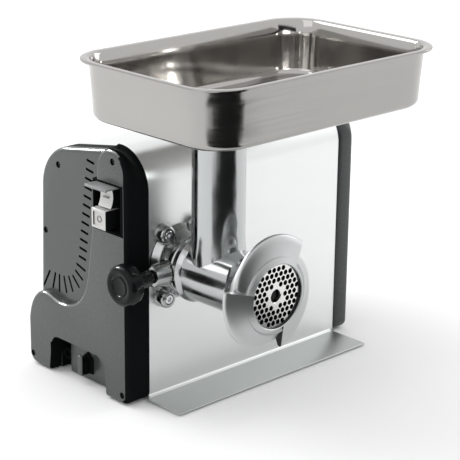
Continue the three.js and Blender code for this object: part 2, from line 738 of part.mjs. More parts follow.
// ---------------------------------------------------------------- tray
// Pressed tray: walls that lean out by 3.5 mm, a flat lip, a hole with a short spigot that sits in the throat.
const spans = (d) => [
  [TRAY.left + d, TRAY.right - d],
  [TRAY.front + d, TRAY.back - d],
];
function leaning(inset, z0, z1) {
  const [x, y] = spans(TRAY.lip + 3.5 + inset);
  const g = new THREE.ExtrudeGeometry(rounded(x, y, 34 - inset), {
    depth: z1 - z0,
    bevelEnabled: false,
    curveSegments: 7,
  });
  const p = g.attributes.position;
  const [midX, midY] = [x, y].map(([a, b]) => (a + b) / 2);
  const [halfX, halfY] = [x, y].map(([a, b]) => (b - a) / 2);
  for (let i = 0; i < p.count; i++) {
    const lean = (3.5 * p.getZ(i)) / TRAY.depth;
    p.setX(i, midX + (p.getX(i) - midX) * (1 + lean / halfX));
    p.setY(i, midY + (p.getY(i) - midY) * (1 + lean / halfY));
  }
  return solid(g.translate(0, 0, z0));
}
function tray() {
  const floor = TRAY.rim - TRAY.depth;
  const lip = flat(rounded(...spans(0), 41), [TRAY.rim - TRAY_WALL, TRAY.rim], 7);
  const outside = join(leaning(0, floor, TRAY.rim), lip);
  const spigot = rodZ([floor - 22, floor + 1], [HEAD_X, THROAT_Y], THROAT_R - 2.1, 32);
  const hole = rodZ([floor - 30, floor + 5], [HEAD_X, THROAT_Y], THROAT_R - 3.3, 32);
  const inside = leaning(TRAY_WALL, floor + TRAY_WALL, TRAY.rim + 5);
  return cut(join(cut(outside, inside), spigot), hole);
}

// ---------------------------------------------------------------- assembly
piece("steel_wrapper", steelWrapper(), satinSteel);
piece("base_plate", basePlate(), gearSteel);
piece("left_cover", leftCover(), greyPlastic);
piece("right_cover", rightCover(), greyPlastic);
leftScrews.forEach(({ at, face }, i) =>
  piece(`left_cover_screw_${i + 1}`, coverScrew(-face + 1.2, at, 1), blackIron),
);
rightScrews.forEach(({ at }, i) =>
  piece(`right_cover_screw_${i + 1}`, coverScrew(WIDTH + RIGHT - 1.2, at, -1), blackIron),
);
footPlaces.forEach((at, i) => piece(`rubber_foot_${i + 1}`, rodZ([0, 2.8], at, FOOT_R, 16), rubber));
piece("cord_hook", cordHook(), greyPlastic);
piece("cable_gland", cableGland(), blackPlastic);
piece("switch_body", switchBody(), blackPlastic);
piece("switch_visor", switchVisor(), lightPlastic);
piece("start_button", startButton(), lightPlastic);
piece("stop_button", stopButton(), lightPlastic);
piece("gear_case", gearCase(), castMetal);
piece("gear_case_lid", gearCaseLid(), castMetal);
piece("output_bearing_front", bearing([2, 9], HEAD_X, 15, 23), gearSteel);
piece("output_bearing_rear", bearing([40.5, 45.5], HEAD_X, 8, 13), gearSteel);
piece("output_shaft", outputShaft(), gearSteel);
const { y0: outY0, y1: outY1, module: outModule, wheel: outTeeth } = STAGE_2;
piece("output_gear", wheel(toothed(outTeeth, outModule, 11), [outY0, outY1], HEAD_X), gearSteel);
piece("idler_shaft", idlerShaft(), gearSteel);
const { y0: inY0, y1: inY1, module: inModule, wheel: inTeeth } = STAGE_1;
piece("idler_gear", wheel(toothed(inTeeth, inModule, 7.2), [inY0, inY1], IDLER_X), gearSteel);
piece("rotor_shaft", rotorShaft(), gearSteel);
const rotorCore = bearing([MOTOR.y0, MOTOR.y1], MOTOR_X, 7, MOTOR.bore - 0.8);
piece("rotor_core", rotorCore, copper);
piece("motor_stator", stator(), blackIron);
piece("motor_bell_front", endBell(MOTOR.y0, -1), castMetal);
piece("motor_bell_rear", endBell(MOTOR.y1, 1), castMetal);
piece("rotor_bearing_front", bearing([49, 55.5], MOTOR_X, 7, 13), gearSteel);
piece("rotor_bearing_rear", bearing([112.5, 119], MOTOR_X, 7, 13), gearSteel);
piece("cooling_fan", coolingFan(), blackPlastic);
piece("motor_cradle", motorCradle(), gearSteel);
piece("run_capacitor", runCapacitor(), lightPlastic);
piece("neck_hub", neckHub(), polished);
hubScrewPlaces().forEach((at, i) => piece(`hub_screw_${i + 1}`, hubScrew(at), gearSteel));
piece("clamp_knob", clampKnob(), blackPlastic);
piece("clamp_screw", clampScrew(), gearSteel);
piece("grinder_head", grinderHead(), polished);
piece("feed_screw", feedScrew(), castMetal);
piece("thrust_washer", thrustWasher(), lightPlastic);
piece("knife", knife(), gearSteel);
piece("grinding_plate", grindingPlate(), satinSteel);
piece("plate_key", plateKey(), gearSteel);
piece("ring_nut", ringNut(), castMetal);
piece("tray", tray(), polished);

export default group;
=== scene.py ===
# Electric meat grinder: the finished look of every piece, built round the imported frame. Sections give
# lengths in millimetres from the front panel's lower left corner, and at() turns them into the frame's
# metres.
import math

import bmesh
import bpy
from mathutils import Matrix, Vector


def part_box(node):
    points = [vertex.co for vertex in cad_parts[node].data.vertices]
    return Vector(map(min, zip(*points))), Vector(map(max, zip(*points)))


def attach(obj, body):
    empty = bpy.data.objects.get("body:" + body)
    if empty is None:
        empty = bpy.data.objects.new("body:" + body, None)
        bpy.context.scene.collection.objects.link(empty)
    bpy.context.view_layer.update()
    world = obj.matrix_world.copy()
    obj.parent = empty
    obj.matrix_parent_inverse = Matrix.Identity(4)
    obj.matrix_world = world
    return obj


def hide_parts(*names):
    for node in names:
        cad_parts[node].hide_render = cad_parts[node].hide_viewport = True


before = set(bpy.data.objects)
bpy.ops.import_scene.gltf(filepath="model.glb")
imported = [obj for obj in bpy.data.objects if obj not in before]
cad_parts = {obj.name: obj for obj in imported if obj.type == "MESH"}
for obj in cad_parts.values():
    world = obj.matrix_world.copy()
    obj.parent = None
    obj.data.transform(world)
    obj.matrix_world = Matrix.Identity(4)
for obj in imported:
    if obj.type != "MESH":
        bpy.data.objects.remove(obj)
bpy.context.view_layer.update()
bpy.ops.object.select_all(action="DESELECT")

# ---------------------------------------------------------------- studio
# A pale floor in a white room: a soft key from behind on the left, one more lamp from the left, a fill,
# and a rim lamp that only reflections see. Dark cards stand and lie before the machine, because polished
# steel needs something dark to show its shape.
LOOK_AT, CAMERA_DISTANCE, LENS, ROLL = (0.0111, 0.0167, 0.1473), 1.6673, 126.56, 0.69
turn, rise = math.radians(-43.95), math.radians(18.42)
back = Vector((math.sin(turn) * math.cos(rise), -math.cos(turn) * math.cos(rise), math.sin(rise)))
bpy.ops.object.camera_add(location=Vector(LOOK_AT) + back * CAMERA_DISTANCE)
camera = bpy.context.object
camera.name = "camera"
camera.rotation_euler = back.to_track_quat("Z", "Y").to_euler()
camera.rotation_euler.rotate_axis("Z", math.radians(ROLL))
camera.data.lens = LENS
camera.data.sensor_width = 36
bpy.context.scene.camera = camera
bpy.context.scene.view_settings.view_transform = "Standard"


def soft_light(name, place, aim, size, power):
    """A rectangular lamp at a place, turned towards a point."""
    bpy.ops.object.light_add(type="AREA", location=place)
    lamp = bpy.context.object
    lamp.name = name
    lamp.rotation_euler = (Vector(place) - Vector(aim)).to_track_quat("Z", "Y").to_euler()
    lamp.data.shape = "RECTANGLE"
    lamp.data.size, lamp.data.size_y = size
    lamp.data.energy = power


MACHINE_MIDDLE = (0, 0, 0.15)
soft_light("key", (-0.75, 1.4, 1.7), MACHINE_MIDDLE, (1.6, 1.6), 20)
soft_light("side", (-1.9, -0.2, 1.3), MACHINE_MIDDLE, (1.2, 1.2), 2.5)
soft_light("rim", (-0.48, 1.62, 1.22), (-0.13, 0, 0.25), (0.6, 0.5), 45)
bpy.context.object.visible_diffuse = False
soft_light("fill", (1.9, -0.6, 0.9), MACHINE_MIDDLE, (0.8, 1.2), 6)


def plain_paint(name, colour, roughness):
    """A matt paint for what isn't part of the machine."""
    paint = bpy.data.materials.new(name)
    paint.use_nodes = True
    shader = paint.node_tree.nodes["Principled BSDF"]
    shader.inputs["Base Color"].default_value = (*colour, 1)
    shader.inputs["Roughness"].default_value = roughness
    shader.inputs["Specular IOR Level"].default_value = 0.1
    return paint


def dark_screen(name, place, width, height, tilt, facing):
    """A black card that only reflections see, tilted up from level and turned about the upright."""
    bpy.ops.mesh.primitive_plane_add(size=1, location=place)
    screen = bpy.context.object
    screen.name = name
    screen.scale = (width, height, 1)
    screen.rotation_euler = (math.radians(tilt), 0, math.radians(facing))
    screen.visible_camera = screen.visible_diffuse = screen.visible_shadow = False
    screen.data.materials.append(screen_paint)


screen_paint = plain_paint("screen_black", (0.01, 0.01, 0.01), 1.0)
dark_screen("screen_front", (-0.25, -1.0, 0.28), 1.3, 0.56, 90, 0)
dark_screen("screen_near", (-0.36, -0.48, 0.004), 1.0, 0.38, 0, 0)
dark_screen("screen_far", (-0.28, -0.83, 0.004), 1.4, 0.32, 0, 0)

bpy.ops.mesh.primitive_plane_add(size=9, location=(0, 0, -0.0002))
floor = bpy.context.object
floor.name = "floor"
floor.data.materials.append(plain_paint("floor_paint", (0.95, 0.95, 0.95), 0.7))

room = bpy.data.worlds.new("white_room")
room.use_nodes = True
room.node_tree.nodes["Background"].inputs["Color"].default_value = (1, 1, 1, 1)
room.node_tree.nodes["Background"].inputs["Strength"].default_value = 1.0
bpy.context.scene.world = room

# ---------------------------------------------------------------- steel wrapper
# One 1.2 mm stainless sheet folded round the drive: front panel, rounded top and back, with a round window
# for the neck and a drip flange bent forward at the foot. Satin finish, its grain running along the machine;
# the flange is painted darker as shade.
WIDTH, DEPTH, HEIGHT, SHEET, FLANGE = 270, 148, 255, 1.2, 52
HEAD_X, HEAD_Z = 40, 138.5
PANEL_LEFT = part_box("steel_wrapper")[1].x - WIDTH / 1000
PANEL_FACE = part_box("steel_wrapper")[0].y + FLANGE / 1000


def at(x, y, z):
    return Vector((PANEL_LEFT + x / 1000, PANEL_FACE + y / 1000, z / 1000))


def only(piece):
    """Makes a piece the one selected object."""
    bpy.ops.object.select_all(action="DESELECT")
    piece.select_set(True)
    bpy.context.view_layer.objects.active = piece


def skin(name, rings, capped=True):
    """A solid drawn through rings of equally many points: a circle is laid on the first and extruded to
    each next one. An uncapped skin ends where it began."""
    bpy.ops.object.select_all(action="DESELECT")
    bpy.ops.mesh.primitive_circle_add(vertices=len(rings[0]), fill_type="NGON" if capped else "NOTHING")
    piece = bpy.context.object
    piece.name = piece.data.name = name
    piece.location = (0, 0, 0)
    bpy.ops.object.mode_set(mode="EDIT")
    bpy.ops.mesh.select_mode(type="FACE" if capped else "EDGE")
    bpy.ops.mesh.select_all(action="SELECT")
    for step, ring in enumerate(rings):
        if step:
            bpy.ops.mesh.extrude_region_move()
        mesh = bmesh.from_edit_mesh(piece.data)
        place = mesh.verts.layers.int.get("place") or mesh.verts.layers.int.new("place")
        mesh.verts.ensure_lookup_table()
        for i, vertex in enumerate(v for v in mesh.verts if v.select):
            if not step:
                vertex[place] = i
            vertex.co = at(*ring[vertex[place]])
        bmesh.update_edit_mesh(piece.data)
    bpy.ops.mesh.select_all(action="SELECT")
    bpy.ops.mesh.remove_doubles(threshold=0.000004)
    bpy.ops.mesh.normals_make_consistent(inside=False)
    bpy.ops.object.mode_set(mode="OBJECT")
    piece.data.attributes.remove(piece.data.attributes["place"])
    return piece


def slab(name, outline, x0, x1):
    """An outline drawn in (y, z) and run along x."""
    return skin(name, [[(x, y, z) for y, z in outline] for x in (x0, x1)])


def changed(piece, kind, **settings):
    """Adds a modifier to a piece and applies it."""
    only(piece)
    modifier = piece.modifiers.new("change", kind)
    for key, value in settings.items():
        setattr(modifier, key, value)
    bpy.ops.object.modifier_apply(modifier="change")
    return piece


def boolean(piece, operation, *tools):
    """Cuts tools from a piece, or joins them to it, and takes the tools away."""
    for tool in tools:
        changed(piece, "BOOLEAN", object=tool, operation=operation, solver="EXACT")
        bpy.data.objects.remove(tool)
    return piece


def arc(centre, radius, start, end, steps=12):
    """Points of a circle's arc from one angle to another, in degrees."""
    angles = [math.radians(start + (end - start) * i / steps) for i in range(steps + 1)]
    return [(centre[0] + radius * math.cos(a), centre[1] + radius * math.sin(a)) for a in angles]


def body_outline(inner=0.0, bottom=3.0):
    """Side view of the body: upright front, rounded corners, a top that falls to the back."""
    front = arc((38, HEIGHT - 38), 38 - inner, 180, 82.6, 20)
    rear = arc((DEPTH - 54, HEIGHT - 58), 48 - inner, 82.6, 2.9, 20)
    return [(inner, bottom)] + front + rear + [(DEPTH - 6 - inner, 196), (DEPTH - inner, bottom)]


wrapper = slab("wrapper", body_outline() + body_outline(SHEET)[::-1], 0, WIDTH)
window = arc((HEAD_X, HEAD_Z), 25, 0, 352.5, 47)
boolean(wrapper, "DIFFERENCE", skin("window", [[(x, y, z) for x, z in window] for y in (-3, 3)]))
lip = [(-FLANGE + 0.5, 1.2)] + arc((-FLANGE + 1, 2.2), 1, 240, 100, 6) + [(-4, 3.2)]
lip += arc((-2.6, 6.2), 3, 270, 360, 6)[1:] + [(0.4, 10), (SHEET - 0.1, 10)]
lip += arc((-2.6, 5), 3.7, 0, -90, 6)
flange = skin("flange", [[(x, y, z) for y, z in lip] for x in (-5, WIDTH - 4)])
notch = [(-2.5, -1), (-2.5, 20), (9, 20), (9, -1)]
boolean(flange, "DIFFERENCE", slab("notch", notch, -9, 0))
boolean(wrapper, "UNION", flange)


def surface(name, colour, metallic, roughness, grain, depth, spread=0.04, tint=0.05, scale=1.0):
    """A procedural finish: fine grain, stretched by three scales, drives bump and roughness, and a slow
    cloud drives the tone."""
    material = bpy.data.materials.new(name)
    material.use_nodes = True
    tree = material.node_tree
    shader = tree.nodes["Principled BSDF"]
    shader.inputs["Metallic"].default_value = metallic
    place = tree.nodes.new("ShaderNodeTexCoord")
    stretch = tree.nodes.new("ShaderNodeMapping")
    stretch.inputs["Scale"].default_value = grain
    fine = tree.nodes.new("ShaderNodeTexNoise")
    fine.inputs["Scale"].default_value = scale
    fine.inputs["Detail"].default_value = 5
    cloud = tree.nodes.new("ShaderNodeTexNoise")
    cloud.inputs["Scale"].default_value = 12
    cloud.inputs["Detail"].default_value = 3
    rough = tree.nodes.new("ShaderNodeMapRange")
    rough.inputs["From Min"].default_value = 0.3
    rough.inputs["From Max"].default_value = 0.7
    rough.inputs["To Min"].default_value = max(0.02, roughness - spread)
    rough.inputs["To Max"].default_value = roughness + spread
    tone = tree.nodes.new("ShaderNodeMix")
    tone.data_type = "RGBA"
    tone.inputs["A"].default_value = (*[c * (1 - tint) for c in colour], 1)
    tone.inputs["B"].default_value = (*[min(1, c * (1 + tint)) for c in colour], 1)
    bump = tree.nodes.new("ShaderNodeBump")
    bump.inputs["Strength"].default_value = depth
    bump.inputs["Distance"].default_value = 0.0002
    for source, target in (
        (place.outputs["Object"], stretch.inputs["Vector"]),
        (stretch.outputs["Vector"], fine.inputs["Vector"]),
        (place.outputs["Object"], cloud.inputs["Vector"]),
        (fine.outputs["Fac"], rough.inputs["Value"]),
        (rough.outputs["Result"], shader.inputs["Roughness"]),
        (cloud.outputs["Fac"], tone.inputs["Factor"]),
        (tone.outputs["Result"], shader.inputs["Base Color"]),
        (fine.outputs["Fac"], bump.inputs["Height"]),
        (bump.outputs["Normal"], shader.inputs["Normal"]),
    ):
        tree.links.new(source, target)
    return material


def fitted(piece, body, slot, *replaced, angle=32, material=None):
    """Clears the slivers that cuts leave, smooths a piece, gives it its finish and lets it ride on its body
    in place of CAD nodes."""
    only(piece)
    bpy.ops.object.mode_set(mode="EDIT")
    bpy.ops.mesh.select_all(action="SELECT")
    bpy.ops.mesh.remove_doubles(threshold=0.000002)
    bpy.ops.mesh.dissolve_degenerate(threshold=0.000002)
    bpy.ops.object.mode_set(mode="OBJECT")
    bpy.ops.object.shade_smooth_by_angle(angle=math.radians(angle))
    if material:
        piece.data.materials.clear()
        piece.data.materials.append(material)
    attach(piece, body)
    if replaced:
        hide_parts(*replaced)


satin_steel = surface("satin_steel", (0.81, 0.825, 0.82), 1, 0.34, (12, 700, 700), 0.10, 0.05, 0.015)
# A darker copy of the satin steel: painted shade for the flange.
flange_steel_painted_shade = surface("flange_steel_painted_shade", (0.46, 0.48, 0.475), 1, 0.38, (12, 700, 700), 0.10, 0.05, 0.015)
wrapper.data.materials.append(satin_steel)
wrapper.data.materials.append(flange_steel_painted_shade)
# The flange is the same sheet; its faces take the darker copy as painted shade at the panel's foot.
for face in wrapper.data.polygons:
    face.material_index = int(face.center.y < -0.0045 and face.center.z < 0.006)
fitted(wrapper, "housing", "satin_steel", "steel_wrapper")

# ---------------------------------------------------------------- left cover
# Moulded end cover in two tones: a black shell whose rounded edge meets the steel, and a grey face with a
# glossier rim that is also painted lighter where it turns up, as a highlight. The black of the front band is
# partly the shell's colour and partly painted shade, and the faces turned down, the cuts and the arch are
# painted black as shade. A raised column along the front swells into a boot with two feet; the thinner panel
# behind it carries the vents.
LEFT, VENT, FOOT, BOOT_BACK, GAP = 29, 20, 1.5, 158, 0.35
grey_plastic = surface("grey_plastic", (0.042, 0.048, 0.0465), 0, 0.24, (1, 1, 1), 0.16, 0.05, 0.04, 1500)
# Black plastic, also used as painted shade on faces turned down and on the walls of cuts and hollows.
black_plastic = surface("black_plastic", (0.006, 0.0066, 0.007), 0, 0.22, (1, 1, 1), 0.05, 0.04, 0.1, 1500)
grey_plastic.node_tree.nodes["Principled BSDF"].inputs["Specular IOR Level"].default_value = 0.65
black_plastic.node_tree.nodes["Principled BSDF"].inputs["Specular IOR Level"].default_value = 0.002


def bezier(a, b, c, d, steps=12):
    """Points of a cubic curve after its first one."""
    weights = [((1 - t) ** 3, 3 * t * (1 - t) ** 2, 3 * t * t * (1 - t), t ** 3)
               for t in [(i + 1) / steps for i in range(steps)]]
    return [tuple(sum(w * p[k] for w, p in zip(row, (a, b, c, d))) for k in (0, 1)) for row in weights]


def drawn_in(outline, distance):
    """An outline moved inwards, each point square to its neighbours."""
    area = sum(a[0] * b[1] - b[0] * a[1] for a, b in zip(outline, outline[1:] + outline[:1]))
    moved = []
    for i, (y, z) in enumerate(outline):
        (y0, z0), (y1, z1) = outline[i - 1], outline[(i + 1) % len(outline)]
        before = Vector((z0 - z, y - y0)).normalized()
        after = Vector((z - z1, y1 - y)).normalized()
        middle = (before + after) / max(0.4, 1 + before.dot(after))
        reach = math.copysign(distance, area)
        moved.append((y + middle.x * reach, z + middle.y * reach))
    return moved


def rounding(face, radius, steps=5):
    """Pairs of (x, inset) that round an outer edge on the way to the face."""
    turns = [math.pi / 2 * i / steps for i in range(steps + 1)]
    return [(face + radius * (1 - math.sin(a)), radius * (1 - math.cos(a))) for a in turns]


def boot_outline(top):
    """Column and boot in side view, with the given points over the column's head."""
    back_foot = arc((BOOT_BACK - 12, FOOT + 12), 12, 0, -90, 8)
    heel = bezier((60, 120), (66, 90), (88, 80), (106, 81))
    heel += bezier((106, 81), (118, 82), (126, 89), (137, 85))
    heel += bezier((137, 85), (150, 80), (BOOT_BACK - 2, 66), (BOOT_BACK, 50))
    toe = arc((6, FOOT + 8), 8, -90, -180, 8)
    waist = [(44, 212), (52, 172), (57, 140)]
    return [(26, FOOT)] + toe + top + waist + heel + back_foot + [(118, FOOT), (60, FOOT)]


hump = [(-2, 60), (-2, 130), (-2, 190), (-2, 222)] + arc((20.5, 238), 22.5, 180, 0, 26)
shoulder = [(-2, 60), (-2, 130), (-2, 190), (-2, 205)] + arc((38, HEIGHT - 38), 40, 180, 84, 26)
edge_ring = boot_outline(hump)
rings = []
for share in (1.0, 0.8, 0.6, 0.4, 0.2):
    swell = share * share * (3 - 2 * share)
    top = [(a[0] * (1 - swell) + b[0] * swell, a[1] * (1 - swell) + b[1] * swell)
           for a, b in zip(hump, shoulder)]
    rings.append([(-GAP - (LEFT - 4.4) * (1 - share), y, z) for y, z in boot_outline(top)])
rings += [[(x, y, z) for y, z in drawn_in(edge_ring, d)] for x, d in rounding(-LEFT, 4)]
left_cover = skin("left_cover_shell", rings)


def grey_and_black_faces(piece, black_when):
    """Grey with black where the test on a face's middle and normal, in mm, says so. Black is the plastic's
    own colour in some places and painted shade in others.
    """
    piece.data.materials.append(grey_plastic)
    piece.data.materials.append(black_plastic)
    for face in piece.data.polygons:
        middle = (face.center - at(0, 0, 0)) * 1000
        face.material_index = int(black_when(middle, face.normal))
    return piece


# Black on the front band is partly the shell's colour and partly painted shade; faces turned down are
# painted black as shade.
grey_and_black_faces(left_cover, lambda m, n: m.x > -17 or n.z < -0.7 or (m.y < 9 and m.x > -28.8)
         or (m.x > -28.99 and m.y < 7.6 and m.z < 250)
         or (n.x > -0.5 and m.y < 36 and m.z > 200 and m.x > -27))
panel_edge = body_outline(bottom=40)
vent_rings = [[(x, y, z) for y, z in panel_edge] for x in (-GAP, -14.5)]
vent_rings += [[(x, y, z) for y, z in drawn_in(panel_edge, d)] for x, d in rounding(-VENT, 4.5)]
vent_panel = grey_and_black_faces(skin("vent_panel", vent_rings), lambda m, n: m.x > -14)
boolean(left_cover, "UNION", vent_panel)


def painted_shade_cutter(tool):
    """A cutter whose walls are painted black, as shade inside the cut."""
    return grey_and_black_faces(tool, lambda m, n: True)


def joined(pieces):
    """Several meshes made one object, the first of them."""
    bpy.ops.object.select_all(action="DESELECT")
    for piece in pieces:
        piece.select_set(True)
    bpy.context.view_layer.objects.active = pieces[0]
    bpy.ops.object.join()
    return pieces[0]


def slot_outline(y, z, length, lean, half=1.3):
    """A round-ended slot in the cover's face, leaning from level by so many degrees."""
    ends = arc((length / 2 - half, 0), half, -90, 90, 6)
    ends += arc((half - length / 2, 0), half, 90, 270, 6)
    c, s = math.cos(math.radians(lean)), math.sin(math.radians(lean))
    return [(y + u * c - v * s, z + u * s + v * c) for u, v in ends]


VENT_FAN = [(79.5, 124.1, 15.8, 17.6), (82.8, 114.9, 15, 33), (88.1, 106.7, 15.8, 44.7),
            (96.6, 101.8, 17.6, 66.6), (105.6, 98.6, 18.8, 76.8), (115.2, 97.5, 20, 92),
            (123.8, 98.2, 19.6, 105.3), (136, 97.6, 23, 119.8)]
vents = [(61.8 + i * 1.37, 238 - i * 9.4, 12.4, 9) for i in range(12)] + VENT_FAN
LEFT_SCREWS = [(17.5, 249, LEFT), (6.5, 10.5, LEFT), (151, 12, LEFT), (113, 224, VENT), (136, 150, VENT)]
WELL_R = 3.4
wells = [slab("well", [(y + u, z + v) for u, v in arc((0, 0), WELL_R, 0, 345, 23)], -face - 1, -face + 4)
         for y, z, face in LEFT_SCREWS]
slots = [slab("slot", slot_outline(*vent), -VENT - 1, -VENT + 4) for vent in vents]
vent_room = slab("vent_room", drawn_in(body_outline(bottom=52), 4), -VENT + 3, -3)
# Vent room, slots and screw wells get black walls: painted shade inside the hollows.
boolean(left_cover, "DIFFERENCE", painted_shade_cutter(vent_room), painted_shade_cutter(joined(slots)),
        painted_shade_cutter(joined(wells)))
arch = [(31, -1), (124, -1), (120.4, 26)] + bezier((120.4, 26), (119, 41), (113, 42), (106, 42))
arch += [(77, 42)] + bezier((48, 42), (38, 40), (33, 33), (32.5, 24))
# The arch's walls are painted black as shade under the boot.
arch_way = grey_and_black_faces(slab("arch", arch, -LEFT - 1, -14), lambda m, n: abs(n.x) < 0.5)
boolean(left_cover, "DIFFERENCE", arch_way)


def block(name, x, y, z, bevel=0.0, segments=3):
    """A block from three spans, its edges rounded by a bevel."""
    bpy.ops.object.select_all(action="DESELECT")
    low, high = at(x[0], y[0], z[0]), at(x[1], y[1], z[1])
    bpy.ops.mesh.primitive_cube_add(size=1, location=(low + high) / 2, scale=high - low)
    bpy.ops.object.transform_apply(location=True, rotation=True, scale=True)
    piece = bpy.context.object
    piece.name = piece.data.name = name
    if bevel:
        bpy.ops.object.mode_set(mode="EDIT")
        bpy.ops.mesh.select_all(action="SELECT")
        bpy.ops.mesh.bevel(offset=bevel / 1000, segments=segments, affect="EDGES")
        bpy.ops.object.mode_set(mode="OBJECT")
    return piece


boolean(left_cover, "DIFFERENCE", painted_shade_cutter(block("cord_way", (-LEFT - 1, -4), (106, 121), (-1, 34))),
        painted_shade_cutter(block("switch_way", (-LEFT - 1, -0.6), (2.6, 49), (176, 227))))
# Rim faces turning up and out take a lighter, glossier grey: a painted highlight along the rim.
grey_rim_painted_highlight = surface("grey_rim_painted_highlight", (0.07, 0.078, 0.076), 0, 0.2, (1, 1, 1), 0, 0.02, 0.03, 1500)
grey_rim_painted_highlight.node_tree.nodes["Principled BSDF"].inputs["Specular IOR Level"].default_value = 1.0
left_cover.data.materials.append(grey_rim_painted_highlight)
for face in left_cover.data.polygons:
    if face.material_index == 0 and face.normal.z > 0.2 and -0.98 < face.normal.x < -0.2:
        face.material_index = 2
fitted(left_cover, "housing", "grey_plastic", "left_cover")

# ---------------------------------------------------------------- right cover
# The plainer end cover, moulded in dark grey plastic: it bows out a little over the steel's edge, and its
# outer face has a column of level vents. The rim is rounded and the foot corner follows it.
RIGHT = 22
dark_grey_plastic = surface("dark_grey_plastic", (0.024, 0.029, 0.029), 0, 0.3, (1, 1, 1), 0.1, 0.05,
                            0.05, 1500)


def end_outline(proud):
    """The right cover in side view, standing proud of the steel by so much."""
    toe = arc((8 - proud, FOOT + 8), 8, -90, -180, 6)
    front = arc((38, HEIGHT - 38), 38 + proud, 180, 82.6, 22)
    rear = arc((DEPTH - 54, HEIGHT - 58), 48 + proud, 82.6, 2.9, 22)
    heel = arc((DEPTH - 8 + proud, FOOT + 8), 8, 0, -90, 6)
    upright = [(-proud, 60), (-proud, 120), (-proud, 170)]
    return toe + upright + front + rear + [(DEPTH - 6 + proud, 196)] + heel


right_rings = []
for out, proud in ((GAP, 0.2), (2, 1.2), (6, 1.9), (11, 2), (17, 1.9)):
    right_rings.append([(WIDTH + out, y, z) for y, z in end_outline(proud)])
last, RIM_ROUND = end_outline(1.8), 4.5
for i in range(6):
    a = math.pi / 2 * i / 5
    right_rings.append([(WIDTH + RIGHT - RIM_ROUND * (1 - math.sin(a)), y, z)
                        for y, z in drawn_in(last, RIM_ROUND * (1 - math.cos(a)))])
right_cover = skin("right_cover_shell", right_rings)
RIGHT_SCREWS = [(17.5, 240), (6.5, 12), (138, 12), (118, 222)]
right_wells = [slab("well", [(y + u, z + v) for u, v in arc((0, 0), WELL_R, 0, 345, 23)],
                    WIDTH + RIGHT - 4, WIDTH + RIGHT + 1) for y, z in RIGHT_SCREWS]
right_slots = [slab("slot", slot_outline(75, 197.3 - 9 * i, 60, 0), WIDTH + 15, WIDTH + 30)
               for i in range(12)]
right_room = slab("room", drawn_in(body_outline(bottom=30), 4), WIDTH + 2, WIDTH + RIGHT - 3)
boolean(right_cover, "DIFFERENCE", right_room, joined(right_slots), joined(right_wells))
fitted(right_cover, "housing", "grey_plastic", "right_cover", material=dark_grey_plastic)

# ---------------------------------------------------------------- cover screws
# Blackened pan-head screws sunk in the covers' wells, each head slotted for a flat driver.
black_screw = surface("black_screw", (0.03, 0.03, 0.032), 1, 0.42, (1, 1, 1), 0.2, 0.06, 0.1, 900)


def turned(name, profile, axis, centre, steps=64):
    """A closed profile of (radius, along) spun round an axis, "x", "y" or "z", through the other two
    coordinates."""
    bpy.ops.object.select_all(action="DESELECT")
    bpy.ops.mesh.primitive_circle_add(vertices=len(profile), fill_type="NOTHING")
    piece = bpy.context.object
    piece.name = piece.data.name = name
    piece.location = (0, 0, 0)
    u, v = centre
    for vertex, (r, along) in zip(piece.data.vertices, profile):
        vertex.co = {"x": at(along, u + r, v), "y": at(u + r, along, v), "z": at(u + r, v, along)}[axis]
    bpy.ops.object.mode_set(mode="EDIT")
    bpy.ops.mesh.select_all(action="SELECT")
    hub = {"x": at(0, u, v), "y": at(u, 0, v), "z": at(u, v, 0)}[axis]
    bpy.ops.mesh.spin(steps=steps, angle=math.tau, center=hub, axis=[float(axis == a) for a in "xyz"])
    bpy.ops.mesh.select_all(action="SELECT")
    bpy.ops.mesh.remove_doubles(threshold=0.000004)
    bpy.ops.mesh.normals_make_consistent(inside=False)
    bpy.ops.object.mode_set(mode="OBJECT")
    return piece


def cover_screw(number, side, y, z, face):
    """A screw whose head's top lies at x = face and whose shank runs to the other side of the cover."""
    into = -1 if side == "right" else 1
    profile = [(0, 0.1), (2.0, 0.1), (2.6, 0.6), (2.9, 1.4), (2.9, 2), (1.4, 2), (1.4, 13.6), (0, 14)]
    screw = turned("screw", [(r, face + into * d) for r, d in profile], "x", (y, z), 24)
    driver = block("slot", sorted((face - into, face + into * 0.9)), (y - 2.2, y + 2.2),
                   (z - 0.45, z + 0.45))
    boolean(screw, "DIFFERENCE", driver)
    screw.name = screw.data.name = f"{side}_screw_{number}"
    fitted(screw, "housing", "black_screw", f"{side}_cover_screw_{number}", material=black_screw)


for number, (y, z, face) in enumerate(LEFT_SCREWS, 1):
    cover_screw(number, "left", y, z, 1.2 - face)
for number, (y, z) in enumerate(RIGHT_SCREWS, 1):
    cover_screw(number, "right", y, z, WIDTH + RIGHT - 1.2)

# ---------------------------------------------------------------- rubber feet
# Four turned rubber pads pressed into round pockets under the covers, with a chamfer where they touch
# down.
rubber = surface("foot_rubber", (0.02, 0.02, 0.02), 0, 0.8, (1, 1, 1), 0.35, 0.08, 0.15, 700)
FEET = ((-LEFT / 2, 14), (-LEFT / 2, 138), (WIDTH + RIGHT / 2, 16), (WIDTH + RIGHT / 2, 132))
PAD = [(0, 0.3), (3, 0.3), (3.4, 0), (6.2, 0), (7, 0.7), (7, 2.8), (0, 2.8)]
for number, place in enumerate(FEET, 1):
    pad = turned(f"foot_{number}", PAD, "z", place, 32)
    fitted(pad, "housing", "foot_rubber", f"rubber_foot_{number}", material=rubber)

